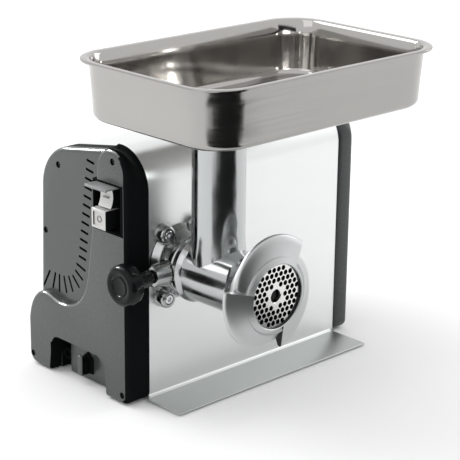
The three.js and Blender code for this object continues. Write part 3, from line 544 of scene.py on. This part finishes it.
# ---------------------------------------------------------------- cord hook and gland
# In the boot's arch a grey moulded hook holds the wound-up cord: a ribbed stem with an upturned outer
# plate. Its faces that don't look outward, and its deeper parts, are painted black as shade. Behind it sits
# the black gland where a cord would enter.
stem = block("hook", (-25, -14.5), (74.4, 79.6), (9.5, 23), 0.5)
outer = block("hook_plate", (-26, -23.6), (73.2, 80.8), (9, 30), 0.7)
ribs = [block("rib", (x, x + 1.3), (72.6, 81.4), (9.2, 24.4), 0.4) for x in (-22, -19.4, -16.8)]
root = slab("hook_root", [(69, 9), (85, 9), (85, 25), (77, 32), (69, 25)], -15.8, -14.35)
hook = boolean(stem, "UNION", outer, root, *ribs)
# Faces that don't look outward, and the deeper parts, are painted black as shade.
grey_and_black_faces(hook, lambda m, n: n.x > -0.5 or m.x > -25)
fitted(hook, "housing", "grey_plastic", "cord_hook")
GLAND_Y = 113.5
gland = turned("gland", [(3.5, -12.6), (6.2, -13), (7.2, -12), (7.4, -8), (7.4, -4.6), (6, -4.35), (6, 6),
                         (3.5, 6)], "x", (GLAND_Y, 18), 40)
boolean(gland, "DIFFERENCE", block("flat", (-14, -5), (GLAND_Y - 9, GLAND_Y - 6.9), (5, 31)),
        block("flat", (-14, -5), (GLAND_Y + 6.9, GLAND_Y + 9), (5, 31)))
fitted(gland, "housing", "black_plastic", "cable_gland", material=black_plastic)

# ---------------------------------------------------------------- switch
# Push-button switch in its pocket: black moulded tub, grey visor over the top, white start button with a
# finger scoop and white stop button that stands out in a frame, both coloured black on the faces turned
# forward and back. The marks are the usual line and ring.
pale_plastic = surface("pale_plastic", (0.52, 0.52, 0.51), 0, 0.38, (1, 1, 1), 0.06, 0.05, 0.02, 1200)
visor_plastic = surface("visor_plastic", (0.2, 0.21, 0.21), 0, 0.35, (1, 1, 1), 0.06, 0.05, 0.02, 1200)
mark_paint = surface("mark_paint", (0.22, 0.2, 0.2), 0, 0.5, (1, 1, 1), 0.06, 0.05, 0.05, 1200)
tub = block("switch_tub", (-LEFT + 0.4, -0.9), (2.9, 48.65), (176.35, 226.65), 0.8)
boolean(tub, "DIFFERENCE", block("well", (-LEFT - 1, -19), (7.2, 46.8), (178.2, 224.8), 1.0),
        block("way", (-LEFT, -6), (17.7, 37.3), (201.7, 220.8)),
        block("way", (-LEFT, -6), (19.7, 42.3), (179.7, 200.3)))
fitted(tub, "housing", "black_plastic", "switch_body", material=black_plastic)
visor = block("visor", (-LEFT - 14, -19.35), (11, 43), (223.2, 224.8), 0.35)
boolean(visor, "UNION", block("root", (-22.5, -19.35), (12, 42), (221.8, 224.4), 0.3),
        block("brow", (-LEFT - 14, -LEFT - 12.2), (11, 43), (222.2, 224.6), 0.35))
fitted(visor, "housing", "light_plastic", "switch_visor", material=visor_plastic)
start = block("start_button_cap", (-LEFT - 3, -12), (18.1, 36.9), (202.1, 220.4), 0.9)
boolean(start, "DIFFERENCE",
        turned("scoop", [(0, 0), (21, 0), (21, 60), (0, 60)], "y", (-LEFT - 20, 213.5), 96))
for paint in (pale_plastic, mark_paint, black_plastic):
    start.data.materials.append(paint)
for face in start.data.polygons:
    face.material_index = 2 if abs(face.normal.y) > 0.6 else 0
line = block("line", (-LEFT - 1.2, -LEFT + 2.2), (23.5, 31.5), (211.2, 212.4), 0.2)
for paint in (pale_plastic, mark_paint):
    line.data.materials.append(paint)
for face in line.data.polygons:
    face.material_index = 1
boolean(start, "UNION", line)
fitted(start, "start_key", "white_plastic", "start_button")
stop = block("stop_button_cap", (-LEFT - 7, -12), (20.1, 41.9), (180.1, 199.9), 0.9)
boolean(stop, "DIFFERENCE", block("recess", (-LEFT - 8, -LEFT - 5.6), (23, 39), (183, 197), 0.5))
ring = turned("ring", [(2.4, -LEFT - 6.2), (3.4, -LEFT - 6.2), (3.4, -LEFT - 5), (2.4, -LEFT - 5)], "x",
              (31, 190), 32)
for piece, index in ((stop, 0), (ring, 1)):
    for paint in (pale_plastic, mark_paint, black_plastic):
        piece.data.materials.append(paint)
    for face in piece.data.polygons:
        face.material_index = 2 if index == 0 and abs(face.normal.y) > 0.6 else index
boolean(stop, "UNION", ring)
fitted(stop, "stop_key", "white_plastic", "stop_button")

# ---------------------------------------------------------------- drive inside the wrapper
# Behind the panel: cast gear case, ground steel gears and shafts, laminated motor with cast bells, fan,
# cradle and capacitor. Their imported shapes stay, each in the finish of its own metal or plastic, and so
# do the base plate, clamp screw, thrust washer and plate key.
cast_alloy = surface("cast_alloy", (0.62, 0.63, 0.64), 1, 0.42, (1, 1, 1), 0.3, 0.08, 0.06, 500)
gear_steel = surface("gear_steel", (0.5, 0.51, 0.52), 1, 0.26, (60, 900, 900), 0.12, 0.06, 0.08)
bearing_steel = surface("bearing_steel", (0.66, 0.67, 0.68), 1, 0.16, (60, 900, 900), 0.06, 0.04, 0.03)
stacked_sheet = surface("stacked_sheet", (0.16, 0.165, 0.17), 1, 0.5, (40, 1800, 40), 0.5, 0.08, 0.12)
zinc_steel = surface("zinc_steel", (0.62, 0.63, 0.66), 1, 0.34, (1, 1, 1), 0.15, 0.08, 0.12, 300)
capacitor_case = surface("capacitor_case", (0.55, 0.56, 0.58), 1, 0.38, (200, 200, 20), 0.12, 0.06, 0.04)
fan_plastic = surface("fan_plastic", (0.02, 0.02, 0.022), 0, 0.45, (1, 1, 1), 0.15, 0.06, 0.1, 900)
nylon = surface("washer_nylon", (0.72, 0.7, 0.62), 0, 0.5, (1, 1, 1), 0.1, 0.05, 0.04, 900)
NODE_FINISHES = {
    cast_alloy: ("gear_case", "gear_case_lid", "motor_bell_front", "motor_bell_rear"),
    gear_steel: ("output_shaft", "output_gear", "idler_shaft", "idler_gear", "rotor_shaft", "plate_key"),
    bearing_steel: ("output_bearing_front", "output_bearing_rear", "rotor_bearing_front",
                    "rotor_bearing_rear"),
    stacked_sheet: ("rotor_core", "motor_stator"),
    zinc_steel: ("base_plate", "motor_cradle", "clamp_screw"),
    capacitor_case: ("run_capacitor",),
    fan_plastic: ("cooling_fan",),
    nylon: ("thrust_washer",),
}
for finish, names in NODE_FINISHES.items():
    for name in names:
        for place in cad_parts[name].material_slots:
            place.material = finish

# ---------------------------------------------------------------- neck hub
# Polished casting that carries the head: a turned socket with four screw ears and a side boss for the
# clamp screw. Its lip is rounded, and a shallow groove runs round it.
polished_alloy = surface("polished_alloy", (0.40, 0.41, 0.41), 1, 0.17, (60, 60, 60), 0.06, 0.05, 0.03)
NECK, KNOB_Y, AXIS = 26, -19, (HEAD_X, HEAD_Z)
EARS = [(HEAD_X + dx, HEAD_Z + dz) for dx, dz in ((-22, 33), (22, 33), (-22, -33), (22, -33))]
LIP_R = 2.5
lip_round = [(33 - LIP_R + LIP_R * math.sin(a), -NECK + LIP_R - LIP_R * math.cos(a))
             for a in [math.pi / 2 * i / 5 for i in range(6)]]
hub_profile = [(0, -NECK)] + lip_round + [(33, -20.5), (31.6, -19), (31.6, -17.5), (33, -14), (33.4, -9),
                                          (35, -5), (38, -1.5), (38.5, -GAP), (0, -GAP)]
hub = turned("hub", hub_profile, "y", AXIS, 96)
ear_profile = [(0, -11), (7.6, -11), (8.8, -10.2), (9.3, -8.5), (10.2, -GAP), (0, -GAP)]
ears = [turned("ear", ear_profile, "y", ear, 40) for ear in EARS]
boss_profile = [(0, -13), (8.6, -13), (10.2, -12), (10.6, -10), (11.2, 2), (12.4, 15), (0, 15)]
boss = turned("boss", boss_profile, "x", (KNOB_Y + 0.5, HEAD_Z), 48)
boolean(hub, "UNION", boss, *ears)
boolean(hub, "DIFFERENCE", turned("socket", [(0, -40), (27.35, -40), (27.35, 3), (0, 3)], "y", AXIS, 96),
        turned("collar_way", [(0, -60), (35, -60), (35, -NECK), (0, -NECK)], "y", AXIS, 96),
        turned("screw_way", [(0, -20), (4.4, -20), (4.4, HEAD_X), (0, HEAD_X)], "x",
               (KNOB_Y, HEAD_Z), 32))
eye_profile = [(0, -30), (5.6, -30), (5.6, -7), (3.4, -6.9), (3.4, 1), (0, 1)]
for ear in EARS:
    boolean(hub, "DIFFERENCE", turned("eye", eye_profile, "y", ear, 32))
fitted(hub, "housing", "polished_alloy", "neck_hub", material=polished_alloy, angle=40)
bolt_profile = [(0, -11.5), (4.2, -11.5), (4.9, -10.9), (4.9, -7.35), (2.5, -7.3), (2.5, 9), (0, 9)]
for number, ear in enumerate(EARS, 1):
    screw = turned("hub_bolt", bolt_profile, "y", ear, 40)
    six = arc(ear, 2.6, 0, 300, 5)
    boolean(screw, "DIFFERENCE", skin("key_socket", [[(x, y, z) for x, z in six] for y in (-13, -8.6)]))
    screw.name = screw.data.name = f"hub_bolt_{number}"
    fitted(screw, "housing", "zinc_steel", f"hub_screw_{number}", material=bearing_steel)

# ---------------------------------------------------------------- clamp knob
# Black gloss moulded hand knob that tightens the head in its neck: rounded rim with seven finger flutes,
# a raised ring and a shallow dish in the face, and a smooth shank over the clamp screw.
gloss_black = surface("gloss_black", (0.005, 0.0055, 0.006), 0, 0.16, (1, 1, 1), 0.05, 0.05, 0.1, 1500)
gloss_black.node_tree.nodes["Principled BSDF"].inputs["Specular IOR Level"].default_value = 0.14
KNOB_FACE, KNOB_BACK, KNOB_R = -54.5, -37, 20.5
dish = ((0, 2.6), (6, 2.4), (8.8, 1.9), (9.4, 0.9), (10.1, 0.5), (11, 0.9), (11.6, 1.4), (13, 1))
knob_profile = [(r, KNOB_FACE + deep) for r, deep in dish]
knob_profile += [(15.5 + 5 * math.sin(a), KNOB_FACE + 0.6 + 6 * (1 - math.cos(a)))
                 for a in [math.pi / 2 * i / 8 for i in range(9)]]
knob_profile += [(KNOB_R, KNOB_BACK - 5)]
knob_profile += [(17.5 + 3 * math.cos(a), KNOB_BACK - 4 + 4 * math.sin(a))
                 for a in [math.pi / 2 * i / 5 for i in range(1, 6)]]
knob_profile += [(11, KNOB_BACK + 0.8), (9.2, KNOB_BACK + 2), (8.6, KNOB_BACK + 5)]
knob_profile += [(8.5, -17), (7.8, -16), (0, -16)]
knob = turned("knob", knob_profile, "x", (KNOB_Y, HEAD_Z), 112)
flute = [(0, KNOB_FACE + 5.5), (3.5, KNOB_FACE + 6.2), (6, KNOB_FACE + 9), (6.3, KNOB_BACK - 2),
         (6.6, KNOB_BACK + 2), (0, KNOB_BACK + 2)]
flutes, FLUTES, FLUTE_RING = [], 7, 24.6
for i in range(FLUTES):
    a = (i + 0.5) / FLUTES * math.tau
    centre = (KNOB_Y + FLUTE_RING * math.cos(a), HEAD_Z + FLUTE_RING * math.sin(a))
    flutes.append(turned("flute", flute, "x", centre, 40))
boolean(knob, "DIFFERENCE", joined(flutes),
        turned("bore", [(0, KNOB_BACK + 7), (4.35, KNOB_BACK + 7), (4.35, 0), (0, 0)], "x",
               (KNOB_Y, HEAD_Z), 32))
fitted(knob, "knob", "gloss_black", "clamp_knob", material=gloss_black, angle=40)

# ---------------------------------------------------------------- grinder head
# Polished stainless head: the barrel with a collar that seats in the neck, a flared end for the plate,
# and a throat welded on top, its foot swelling a little where it meets the barrel.
polished_steel = surface("polished_steel", (0.45, 0.465, 0.465), 1, 0.16, (50, 50, 50), 0.05, 0.05, 0.03)
BORE, PLATE_Y, PLATE_BACK, THROAT_Y = 26.4, -136, -130, -57
RIM, TRAY_DEPTH = 352, 59
THROAT_TOP = RIM - TRAY_DEPTH
barrel = [(0, -5), (26.4, -5), (27, -5.6), (27, -NECK - GAP), (33, -NECK - GAP), (34, -27.4), (34, -32),
          (33.4, -33), (31.4, -36), (31, -38), (31, -96), (31.5, -99.5), (33, -103), (36, -108),
          (37.6, -111), (38, -113), (38, PLATE_Y + 2.6), (37.4, PLATE_Y + 2), (0, PLATE_Y + 2)]
head = turned("head", barrel, "y", AXIS, 128)
throat_profile = [(0, HEAD_Z), (27.6, HEAD_Z), (27.4, HEAD_Z + 22), (26.8, HEAD_Z + 28),
                  (26.2, HEAD_Z + 35), (26, HEAD_Z + 40), (26, THROAT_TOP - 1), (25.6, THROAT_TOP - GAP),
                  (0, THROAT_TOP - GAP)]
throat = turned("throat", throat_profile, "z", (HEAD_X, THROAT_Y), 112)
boolean(head, "UNION", throat)
bore_profile = [(0, -19), (BORE, -19), (BORE, PLATE_BACK + 8), (35.35, PLATE_BACK + 8), (35.35, -140),
                (0, -140)]
boolean(head, "DIFFERENCE",
        turned("bore", bore_profile, "y", AXIS, 112),
        turned("way", [(0, HEAD_Z), (24.4, HEAD_Z), (24.4, RIM), (0, RIM)], "z", (HEAD_X, THROAT_Y), 96),
        turned("journal", [(0, -30), (11.35, -30), (11.35, 0), (0, 0)], "y", AXIS, 48),
        block("key_way", (HEAD_X - 1.9, HEAD_X + 1.9), (PLATE_Y - 1, PLATE_Y + 8),
              (HEAD_Z + 33, HEAD_Z + 36.9)))
fitted(head, "head", "polished_steel", "grinder_head", material=polished_steel, angle=28)

# ---------------------------------------------------------------- feed screw and knife
# Cast feed screw with one flight twisted along the barrel, a square tang behind and a square nose for the
# knife. The four-armed knife is ground flat where it runs on the plate.
cast_steel = surface("cast_steel", (0.58, 0.59, 0.6), 1, 0.33, (1, 1, 1), 0.3, 0.07, 0.05, 420)
# Near-black steel that stands for painted shade in the plate's holes and middle and in the nut's mouth.
steel_painted_dark_as_shade = surface("steel_painted_dark_as_shade", (0.03, 0.03, 0.032), 1, 0.4, (1, 1, 1), 0.2, 0.06, 0.1, 600)
blade_steel = surface("blade_steel", (0.62, 0.63, 0.64), 1, 0.22, (900, 60, 900), 0.1, 0.05, 0.03)
CORE_R, CREST_R, TURNS, STEPS = 10.4, 25.6, 2.6, 104
flight_rings = []
for i in range(STEPS + 1):
    y = -21 - 98 * i / STEPS
    turning = TURNS * math.tau * i / STEPS
    taper = min(1, i / 6, (STEPS - i) / 6)
    ring_points = []
    for k in range(44):
        a = math.tau * k / 44
        crest = max(0.0, 1 - abs(((a + math.pi) % math.tau) - math.pi) / 0.75)
        r = CORE_R + (CREST_R - CORE_R) * taper * min(1, crest * 1.5) ** 0.8
        ring_points.append((HEAD_X + r * math.cos(a + turning), y, HEAD_Z + r * math.sin(a + turning)))
    flight_rings.append(ring_points)
feed = skin("feed", flight_rings)
boolean(feed, "UNION",
        turned("shoulder", [(0, -22), (10.8, -22), (10.8, -6.6), (10.2, -6), (0, -6)], "y", AXIS, 48),
        block("tang", (HEAD_X - 6.85, HEAD_X + 6.85), (-7, 8), (HEAD_Z - 6.85, HEAD_Z + 6.85), 0.8),
        block("nose", (HEAD_X - 4.6, HEAD_X + 4.6), (PLATE_BACK, -118), (HEAD_Z - 4.6, HEAD_Z + 4.6),
              0.4),
        turned("stub", [(0, -132), (4.6, -132), (5.2, -131.4), (5.2, -128), (0, -128)], "y", AXIS, 32))
feed.data.materials.append(cast_steel)
feed.data.materials.append(steel_painted_dark_as_shade)
# The nose and stub in front of the plate's back are painted dark as shade seen through the plate's middle.
for face in feed.data.polygons:
    face.material_index = int(face.center.y * 1000 - 1.5 < PLATE_BACK + 0.5)
fitted(feed, "screw_feed", "cast_steel", "feed_screw", angle=45)


def knife_arm(turn):
    """One straight arm pair: a bar with a bevelled cutting edge, turned about the axis."""
    arm = block("arm", (-24, 24), (PLATE_BACK + 0.6, PLATE_BACK + 8), (-4.5, 4.5), 1.2)
    only(arm)
    bpy.ops.object.mode_set(mode="EDIT")
    bpy.ops.mesh.select_all(action="SELECT")
    bpy.ops.transform.rotate(value=math.radians(turn), orient_axis="Y",
                             center_override=at(0, PLATE_BACK, 0))
    bpy.ops.transform.translate(value=(HEAD_X / 1000, 0, HEAD_Z / 1000))
    bpy.ops.object.mode_set(mode="OBJECT")
    return arm


knife_hub = [(0, -129.4), (9.6, -129.4), (10, -129), (10, -121.4), (9.2, -120.6), (0, -120.6)]
SQUARE = 4.95
knife = boolean(knife_arm(0), "UNION", knife_arm(90), turned("knife_hub", knife_hub, "y", AXIS, 48))
boolean(knife, "DIFFERENCE", block("square", (HEAD_X - SQUARE, HEAD_X + SQUARE), (-140, -110),
                                   (HEAD_Z - SQUARE, HEAD_Z + SQUARE)))
knife.name = knife.data.name = "knife_cross"
fitted(knife, "screw_feed", "blade_steel", "knife", material=blade_steel)

# ---------------------------------------------------------------- grinding plate
# Ground steel plate drilled on a triangular grid round a plain six-sided middle, with a keyed rim.
plate_steel = surface("plate_steel", (0.80, 0.80, 0.79), 1, 0.2, (900, 60, 900), 0.12, 0.06, 0.04)
PITCH, HOLE_R = 6.1, 2.4
disc_profile = [(6.3, PLATE_Y + 0.5), (6.8, PLATE_Y), (34.4, PLATE_Y), (35, PLATE_Y + 0.6),
                (35, PLATE_BACK - 0.6), (34.4, PLATE_BACK), (6.3, PLATE_BACK)]
disc = turned("plate", disc_profile, "y", AXIS, 128)
hole = [(0, PLATE_Y - 1), (2.6, PLATE_Y - 0.2), (HOLE_R, PLATE_Y + 0.3), (HOLE_R, PLATE_BACK + 1),
        (0, PLATE_BACK + 1)]
drills = []
for row in range(-6, 7):
    for i in range(-7, 8):
        x, z = (i + (0.5 if row % 2 else 0)) * PITCH, row * PITCH * 0.866
        if 11.5 < math.hypot(x, z) < 29:
            drills.append(turned("drill", hole, "y", (HEAD_X + x, HEAD_Z + z), 16))
drills = joined(drills)
# The drilled holes' walls are painted dark as shade.
for piece, index in ((disc, 0), (drills, 1)):
    piece.data.materials.append(plate_steel)
    piece.data.materials.append(steel_painted_dark_as_shade)
    for face in piece.data.polygons:
        face.material_index = index
boolean(disc, "DIFFERENCE", drills,
        block("notch", (HEAD_X - 2, HEAD_X + 2), (PLATE_Y - 1, PLATE_BACK + 1),
              (HEAD_Z + 32.2, HEAD_Z + 40)))
disc.name = disc.data.name = "drilled_plate"
fitted(disc, "head", "plate_steel", "grinding_plate")

# ---------------------------------------------------------------- ring nut
# Cast ring nut that holds the plate: three wings climb clockwise round a shallow cone, each ending in a
# step for the fingers. It is satin casting; the mouth's wall and the lowest step are painted dark as shade.
cast_alloy_fine = surface("cast_alloy_fine", (0.53, 0.545, 0.545), 1, 0.4, (1, 1, 1), 0.06, 0.04, 0.03,
                          900)
NUT_FRONT, NUT_BACK, MOUTH, WING_END = -139, -116, 31.5, 60


def nut_section(angle, share):
    """The nut's closed section at an angle; share is how far along its wing, from 0 at the start to 1 at
    the step."""
    reach = 43.6 + (WING_END - 43.6) * math.sqrt(share)
    edge = NUT_FRONT + 10 * (reach - MOUTH) / (WING_END - MOUTH)
    drop = 4.2 * (1 - share)
    points = [(MOUTH, PLATE_Y - GAP), (MOUTH, NUT_FRONT + 0.8), (MOUTH + 0.8, NUT_FRONT + 0.1)]
    for k in range(1, 6):
        s = k / 5
        r = MOUTH + 0.8 + (reach - 2 - MOUTH - 0.8) * s
        points.append((r, NUT_FRONT + 10 * (r - MOUTH) / (WING_END - MOUTH) + drop * min(1, s * 1.6)))
    points += [(reach - 0.6, edge + drop + 0.3), (reach, edge + drop + 1.3),
               (reach - 0.2, edge + drop + 3.4), (reach - 1.2, edge + drop + 4.4)]
    inner = min(reach - 2, 42.9)
    points += [(inner, -123), (43, -122.4), (43, -118), (42, NUT_BACK), (38.35, NUT_BACK),
               (38.35, PLATE_Y - GAP)]
    a = math.radians(angle)
    return [(HEAD_X + r * math.cos(a), y, HEAD_Z + r * math.sin(a)) for r, y in points]


nut_rings = []
for step in (45, 285, 165):
    for i in range(41):
        nut_rings.append(nut_section(step + 120 * (1 - i / 40) - (0.35 if i == 0 else 0), i / 40))
nut_rings.append(nut_rings[0])
nut = skin("nut", nut_rings, capped=False)
nut.data.materials.append(cast_alloy_fine)
nut.data.materials.append(steel_painted_dark_as_shade)
# The mouth's wall and the lowest step are painted dark as shade.
for face in nut.data.polygons:
    across = (face.center - at(HEAD_X, 0, HEAD_Z)) * 1000
    lowest_step = (face.normal.x < -0.9 and abs(face.normal.y) < 0.3
                   and across.z < -30 and across.x > 5)
    face.material_index = int(math.hypot(across.x, across.z) < MOUTH + 0.2 or lowest_step)
fitted(nut, "nut", "cast_alloy_fine", "ring_nut", angle=38)

# ---------------------------------------------------------------- tray
# Deep-drawn stainless tray: leaning walls, rounded bottom edge, a flat lip turned down at its rim, and a
# short spigot that sits in the throat. Bright inside, brushed round the outside.
tray_steel = surface("tray_steel", (0.37, 0.362, 0.35), 1, 0.19, (9, 9, 500), 0.08, 0.05, 0.05)
tray_bright = surface("tray_bright", (0.44, 0.43, 0.415), 1, 0.1, (40, 40, 40), 0.03, 0.05, 0.03)
TRAY = dict(left=-64, right=248, front=-161, back=47)


def tray_ring(inner, z, corner):
    """A rounded rectangle at a height, drawn in from the lip's outer edge."""
    x0, x1 = TRAY["left"] + inner, TRAY["right"] - inner
    y0, y1 = TRAY["front"] + inner, TRAY["back"] - inner
    points = []
    for cx, cy, start in ((x0 + corner, y0 + corner, 180), (x1 - corner, y0 + corner, 270),
                          (x1 - corner, y1 - corner, 0), (x0 + corner, y1 - corner, 90)):
        points += arc((cx, cy), corner, start, start + 90, 14)
        following = {180: (x1 - corner, y0), 270: (x1, y1 - corner),
                     0: (x0 + corner, y1), 90: (x0, y0 + corner)}[start]
        here = points[-1]
        points += [(here[0] + (following[0] - here[0]) * k / 8, here[1] + (following[1] - here[1]) * k / 8)
                   for k in range(1, 8)]
    return [(x, y, z) for x, y in points]


def spigot_ring(radius, z):
    """A circle in the floor whose points answer those of the tray's rings."""
    turns = [math.atan2(y - THROAT_Y, x - HEAD_X) for x, y, _ in tray_ring(10.5, z, 34)]
    return [(HEAD_X + radius * math.cos(a), THROAT_Y + radius * math.sin(a), z) for a in turns]


floor_z, BOTTOM_ROUND = RIM - TRAY_DEPTH, 7
tray_rings = [spigot_ring(23.2, floor_z - 22), spigot_ring(23.8, floor_z - 21),
              spigot_ring(23.9, floor_z - 1), spigot_ring(25, floor_z), spigot_ring(30, floor_z)]
for i in range(7):
    a = math.pi / 2 * i / 6
    tray_rings.append(tray_ring(10.5 + BOTTOM_ROUND * (1 - math.sin(a)) - 0.3 * (1 - math.cos(a)),
                                floor_z + BOTTOM_ROUND * (1 - math.cos(a)), 34 - 2 + 2 * math.sin(a)))
tray_rings += [tray_ring(7 + 3.5 * (1 - s), floor_z + 7 + (TRAY_DEPTH - 11) * s, 34 + 3.2 * s)
               for s in (0.35, 0.7, 1.0)]
LIP = ((6.2, 2.2, 38), (5, 1.3, 38.5), (2, 1.2, 40), (1.0, 2.4, 40.6), (0.2, 2.4, 41), (0, 1.4, 41),
       (0.3, 0.4, 41), (1.1, 0, 40.6), (5.6, 0.1, 38.6), (7.2, 0.9, 37.8), (8.2, 3, 36.8))
tray_rings += [tray_ring(inner, RIM - down, corner) for inner, down, corner in LIP]
tray_rings += [tray_ring(8.2 + 3.5 * (1 - s), floor_z + 8 + (TRAY_DEPTH - 12) * s, 33 + 3.2 * s)
               for s in (0.7, 0.35)]
for i in range(7):
    a = math.pi / 2 * (1 - i / 6)
    tray_rings.append(tray_ring(11.7 + BOTTOM_ROUND * (1 - math.sin(a)),
                                floor_z + 1.2 + BOTTOM_ROUND * (1 - math.cos(a)),
                                33 - 2 + 2 * math.sin(a)))
tray_rings += [spigot_ring(29, floor_z + 1.2), spigot_ring(24.6, floor_z + 1.0),
               spigot_ring(22.8, floor_z - 0.8), spigot_ring(22.7, floor_z - 21.6), tray_rings[0]]
tray = skin("tray_pan", tray_rings, capped=False)
tray.data.materials.append(tray_steel)
tray.data.materials.append(tray_bright)
middle = at(92, -57, 0)
for face in tray.data.polygons:
    outward = Vector((face.center.x - middle.x, face.center.y - middle.y, 0)).dot(face.normal)
    face.material_index = int((outward < 0 or face.normal.z > 0.5) and face.center.z > 0.2935)
fitted(tray, "meat_tray", "tray_steel", "tray", angle=40)
